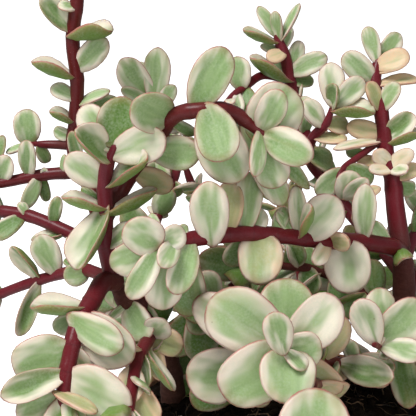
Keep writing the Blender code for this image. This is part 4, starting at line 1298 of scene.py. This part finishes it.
class BUSH_OT_shoots(bpy.types.Operator):
    """Grow every stem and its leaves"""

    bl_idname = "bush.shoots"
    bl_label = "Shoots"

    def execute(self, context):
        scene = context.scene
        slots = {row["node"]: row["material_slot"] for row in frame["record"]["subparts"]}
        for name, (_, _, points) in STEMS.items():
            route = smooth_route(points)
            chance = random.Random(f"{SEED} {name}")
            rows = LEAVES.get(name, [])
            leaves = [set_leaf(route, *row) for row in rows]
            leaf_places = [row[0] for row in rows]
            if name in PAIRS:
                first, spacing, _, _ = PAIRS[name]
                leaves += pair_leaves(route, *PAIRS[name], chance)
                leaf_places += range(first, int(length_of(route)), spacing)
            if name in INFILL:
                leaves += pair_leaves(route, *INFILL[name], chance, INFILL_REACH)
            if name in PAIRS:
                leaves += bud_leaves(route, scene.bush_leaves.bud_size, chance)
            if leaves:
                grow_foliage(name, leaves, scene.bush_leaves)
            stem_slot = "bark" if slots[name] == "bark" else "stem"
            grow_stem(name, route, leaf_places, scene.bush_stems, stem_slot)
        return {"FINISHED"}


class BUSH_OT_soil(bpy.types.Operator):
    """Heap the peat mound and strew its crumbs, fibres and grit"""

    bl_idname = "bush.soil"
    bl_label = "Soil"

    def execute(self, context):
        values = context.scene.bush_soil
        self.mound(values)
        self.crumbs(values)
        self.fibres(values)
        self.grit(values)
        return {"FINISHED"}

    def mound(self, values):
        """The heap itself, lumpy on top and flat below."""
        reach = SOIL_REACH - SOIL_GAP
        radii = [reach * ring / SOIL_RINGS for ring in range(SOIL_RINGS + 1)]
        profile = [(radius, soil_height(radius)) for radius in radii]
        profile += [(reach - 2, SOIL_EDGE - SOIL_DEPTH[0]), (0, SOIL_EDGE - SOIL_DEPTH[1])]
        mesh = bmesh.new()
        lathe(mesh, profile, SOIL_SIDES)
        for vert in mesh.verts:
            radius = math.hypot(vert.co.x, vert.co.y) / MM
            if vert.co.z / MM > soil_height(radius) - 1:
                broad = noise.noise(vert.co * 90)
                clods = noise.noise(vert.co * 330)
                fine = noise.noise(vert.co * 900)
                lump = broad * 0.6 + clods * 0.7 + abs(fine) * 0.5 - 0.5
                vert.co.z += values.roughness * lump * MM
        finished(mesh, "peat_mound", "Peat", "soil", "soil")

    def spot(self, chance, sunk):
        """A point on the soil's surface, sunk a little into it."""
        radius = (SOIL_REACH - 3) * math.sqrt(chance.random())
        angle = chance.uniform(0, 2 * math.pi)
        height = soil_height(radius) - sunk
        return Vector((radius * math.cos(angle), radius * math.sin(angle), height)) * MM

    def crumbs(self, values):
        """Small rough clods that lie loose."""
        chance = random.Random(f"{SEED} crumbs")
        mesh = bmesh.new()
        for _ in range(values.crumbs):
            size = chance.uniform(*CRUMB_SIZE) ** 1.3 * MM
            angle = chance.uniform(0, 6.28)
            axis = Vector([chance.uniform(-1, 1) for _ in range(3)]).normalized()
            turn = Matrix.Rotation(angle, 4, axis)
            place = Matrix.Translation(self.spot(chance, 0.3))
            stretch = Matrix.Diagonal(
                (size * chance.uniform(*CRUMB_STRETCH), size, size * 0.7, 1))
            made = bmesh.ops.create_icosphere(
                mesh, subdivisions=1, radius=1, matrix=place @ turn @ stretch)
            for vert in made["verts"]:
                vert.co += Vector([chance.gauss(0, 1) for _ in range(3)]) * size * 0.15
        finished(mesh, "peat_crumbs", "Peat", "soil")

    def fibres(self, values):
        """Thin crooked threads, and none that would cross the rim."""
        chance = random.Random(f"{SEED} fibres")
        mesh = bmesh.new()
        for _ in range(values.fibres):
            heading = chance.uniform(0, 2 * math.pi)
            step = chance.uniform(*FIBRE_STEP)
            place = self.spot(chance, 0.2)
            path = []
            for index in range(FIBRE_POINTS):
                path.append(place.copy())
                heading += chance.uniform(-0.6, 0.6)
                place += Vector((math.cos(heading) * step, math.sin(heading) * step, 0)) * MM
                radius = math.hypot(place.x, place.y) / MM
                ground = soil_height(min(radius, SOIL_REACH))
                place.z = (ground + chance.uniform(*FIBRE_LIFT)) * MM
            if math.hypot(place.x, place.y) / MM < SOIL_REACH - 1:
                thick = chance.uniform(*FIBRE_THICKNESS) * MM
                radii = [thick * (1 - 0.1 * index) for index in range(FIBRE_POINTS)]
                sweep(mesh, path, radii, 5)
        finished(mesh, "peat_fibres", "Peat fibre", "soil")

    def grit(self, values):
        """Round pitted grains of perlite."""
        chance = random.Random(f"{SEED} grit")
        mesh = bmesh.new()
        for _ in range(values.grains):
            size = chance.uniform(*GRIT_SIZE) * MM
            place = self.spot(chance, 0.1)
            made = bmesh.ops.create_icosphere(
                mesh, subdivisions=2, radius=size, matrix=Matrix.Translation(place))
            for vert in made["verts"]:
                vert.co += (vert.co - place) * noise.noise(vert.co * 900) * 0.6
        finished(mesh, "perlite_grains", "Perlite", "perlite")


class BUSH_OT_pot(bpy.types.Operator):
    """Turn the clay pan"""

    bl_idname = "bush.pot"
    bl_label = "Pot"

    def execute(self, context):
        values = context.scene.bush_pot
        neck = RIM_RADIUS - values.rim_step
        under = POT_HEIGHT - values.rim_band
        slope = (neck - values.base_radius) / under
        inner_foot = values.base_radius - WALL + slope * values.floor - INNER_CURVE
        profile = [(0, values.floor)]
        profile += arc((inner_foot, values.floor + INNER_CURVE), INNER_CURVE, -90, 0, 5)
        profile += arc((SOIL_REACH + LIP, POT_HEIGHT - LIP), LIP, 180, 90, 5)
        profile += arc((RIM_RADIUS - LIP, POT_HEIGHT - LIP), LIP, 90, 0, 5)
        profile += arc((RIM_RADIUS - 2 * BAND_CURVE, under + BAND_CURVE), BAND_CURVE, 0, -90, 4)
        profile += [(neck + 0.5, under - 0.3), (neck, under - 1.2)]
        profile += arc((values.base_radius - values.foot_curve + 0.4, values.foot_curve),
                       values.foot_curve, 0, -90, 5)
        profile += [(0, 0)]
        mesh = bmesh.new()
        lathe(mesh, profile, values.steps)
        for vert in mesh.verts:
            bump = noise.noise(vert.co * 35) * HAND_WAVE
            radius = math.hypot(vert.co.x, vert.co.y) / MM
            if radius > 10 and 1 < vert.co.z / MM < POT_HEIGHT - 1:
                vert.co.x *= 1 + bump / radius
                vert.co.y *= 1 + bump / radius
        pot = finished(mesh, "clay_pot", "Terracotta", "clay", "pot")
        self.drain(pot, values)
        pot.data.set_sharp_from_angle(angle=math.radians(SHARP_ANGLE))
        return {"FINISHED"}

    def drain(self, pot, values):
        """Cuts the drain holes."""
        mesh = bmesh.new()
        radius = values.hole_radius * MM
        for hole in range(values.holes):
            angle = 2 * math.pi * hole / values.holes + math.pi / 2
            away = values.hole_circle * MM
            place = Matrix.Translation((away * math.cos(angle), away * math.sin(angle), 0))
            bmesh.ops.create_cone(mesh, cap_ends=True, segments=32, radius1=radius,
                                  radius2=radius, depth=5 * values.floor * MM, matrix=place)
        cutter = new_object(mesh, "drain_holes")
        cut = pot.modifiers.new("drain", "BOOLEAN")
        cut.operation = "DIFFERENCE"
        cut.object = cutter
        bpy.context.view_layer.update()
        graph = bpy.context.evaluated_depsgraph_get()
        pierced = bpy.data.meshes.new_from_object(pot.evaluated_get(graph))
        pot.modifiers.clear()
        pot.data = pierced
        bpy.data.objects.remove(cutter)


class BUSH_OT_stage(bpy.types.Operator):
    """Set the floor, the lights, the surroundings and the camera"""

    bl_idname = "bush.stage"
    bl_label = "Stage"

    def execute(self, context):
        values = context.scene.bush_stage
        self.floor()
        self.surroundings(values)
        aim = Vector(values.aim) * MM
        self.light("key", values.key, KEY_SIZE, aim + KEY_PLACE, aim)
        self.light("fill", values.fill, FILL_SIZE, aim + FILL_PLACE, aim)
        self.camera(values, aim)
        context.scene.view_settings.view_transform = "Standard"
        return {"FINISHED"}

    def floor(self):
        mesh = bmesh.new()
        bmesh.ops.create_circle(mesh, cap_ends=True, segments=64, radius=FLOOR_RADIUS)
        floor = new_object(mesh, "floor")
        floor.data.materials.append(bpy.data.materials["Pale floor"])

    def surroundings(self, values):
        """White to look at, and dimmer as a light."""
        world = bpy.data.worlds.new("Surroundings")
        world.use_nodes = True
        world.node_tree.nodes.clear()
        tree = Tree(world.node_tree)
        seen = tree.add("ShaderNodeBackground", {"Color": WHITE, "Strength": 1.0})
        lit = tree.add("ShaderNodeBackground", {"Color": WHITE, "Strength": values.ambient})
        path = tree.add("ShaderNodeLightPath")
        either = tree.add("ShaderNodeMixShader", {
            0: path.outputs["Is Camera Ray"], 1: lit.outputs[0], 2: seen.outputs[0]})
        output = tree.add("ShaderNodeOutputWorld")
        tree.links.new(either.outputs[0], output.inputs["Surface"])
        bpy.context.scene.world = world

    def light(self, name, power, size, place, aim):
        data = bpy.data.lights.new(name, "AREA")
        data.shape = "DISK"
        data.size = size
        data.energy = power
        lamp = bpy.data.objects.new(name, data)
        lamp.location = place
        lamp.rotation_euler = (aim - place).to_track_quat("-Z", "Y").to_euler()
        bpy.context.scene.collection.objects.link(lamp)

    def camera(self, values, aim):
        data = bpy.data.cameras.new("camera")
        data.lens = values.lens
        data.clip_start = 0.01
        data.clip_end = 50
        camera = bpy.data.objects.new("camera", data)
        back = Vector((0, -math.cos(values.elevation), math.sin(values.elevation)))
        camera.location = aim + back * values.distance * MM
        camera.rotation_euler = (-back).to_track_quat("-Z", "Y").to_euler()
        bpy.context.scene.collection.objects.link(camera)
        bpy.context.scene.camera = camera


class BUSH_PT_panel(bpy.types.Panel):
    """Lists the steps of the bush and their settings"""

    bl_idname = "BUSH_PT_panel"
    bl_label = "Potted Elephant Bush"
    bl_space_type = "VIEW_3D"
    bl_region_type = "UI"
    bl_category = "Bush"

    def draw(self, context):
        for operator in OPERATORS:
            self.layout.operator(operator.bl_idname)
        for name, settings in SETTINGS.items():
            column = self.layout.box().column()
            for setting in settings.__annotations__:
                column.prop(getattr(context.scene, name), setting)


OPERATORS = (BUSH_OT_materials, BUSH_OT_shoots, BUSH_OT_soil, BUSH_OT_pot, BUSH_OT_stage)
SETTINGS = {
    "bush_leaves": BushLeafSettings,
    "bush_stems": BushStemSettings,
    "bush_soil": BushSoilSettings,
    "bush_pot": BushPotSettings,
    "bush_stage": BushStageSettings,
}


def register():
    for name, settings in SETTINGS.items():
        bpy.utils.register_class(settings)
        setattr(bpy.types.Scene, name, PointerProperty(type=settings))
    for operator in OPERATORS:
        bpy.utils.register_class(operator)
    bpy.utils.register_class(BUSH_PT_panel)


def unregister():
    bpy.utils.unregister_class(BUSH_PT_panel)
    for operator in reversed(OPERATORS):
        bpy.utils.unregister_class(operator)
    for name, settings in reversed(SETTINGS.items()):
        delattr(bpy.types.Scene, name)
        bpy.utils.unregister_class(settings)


def main():
    register()
    bpy.ops.bush.materials()
    bpy.ops.bush.shoots()
    bpy.ops.bush.soil()
    bpy.ops.bush.pot()
    bpy.ops.bush.stage()


if __name__ == "__main__":
    main()
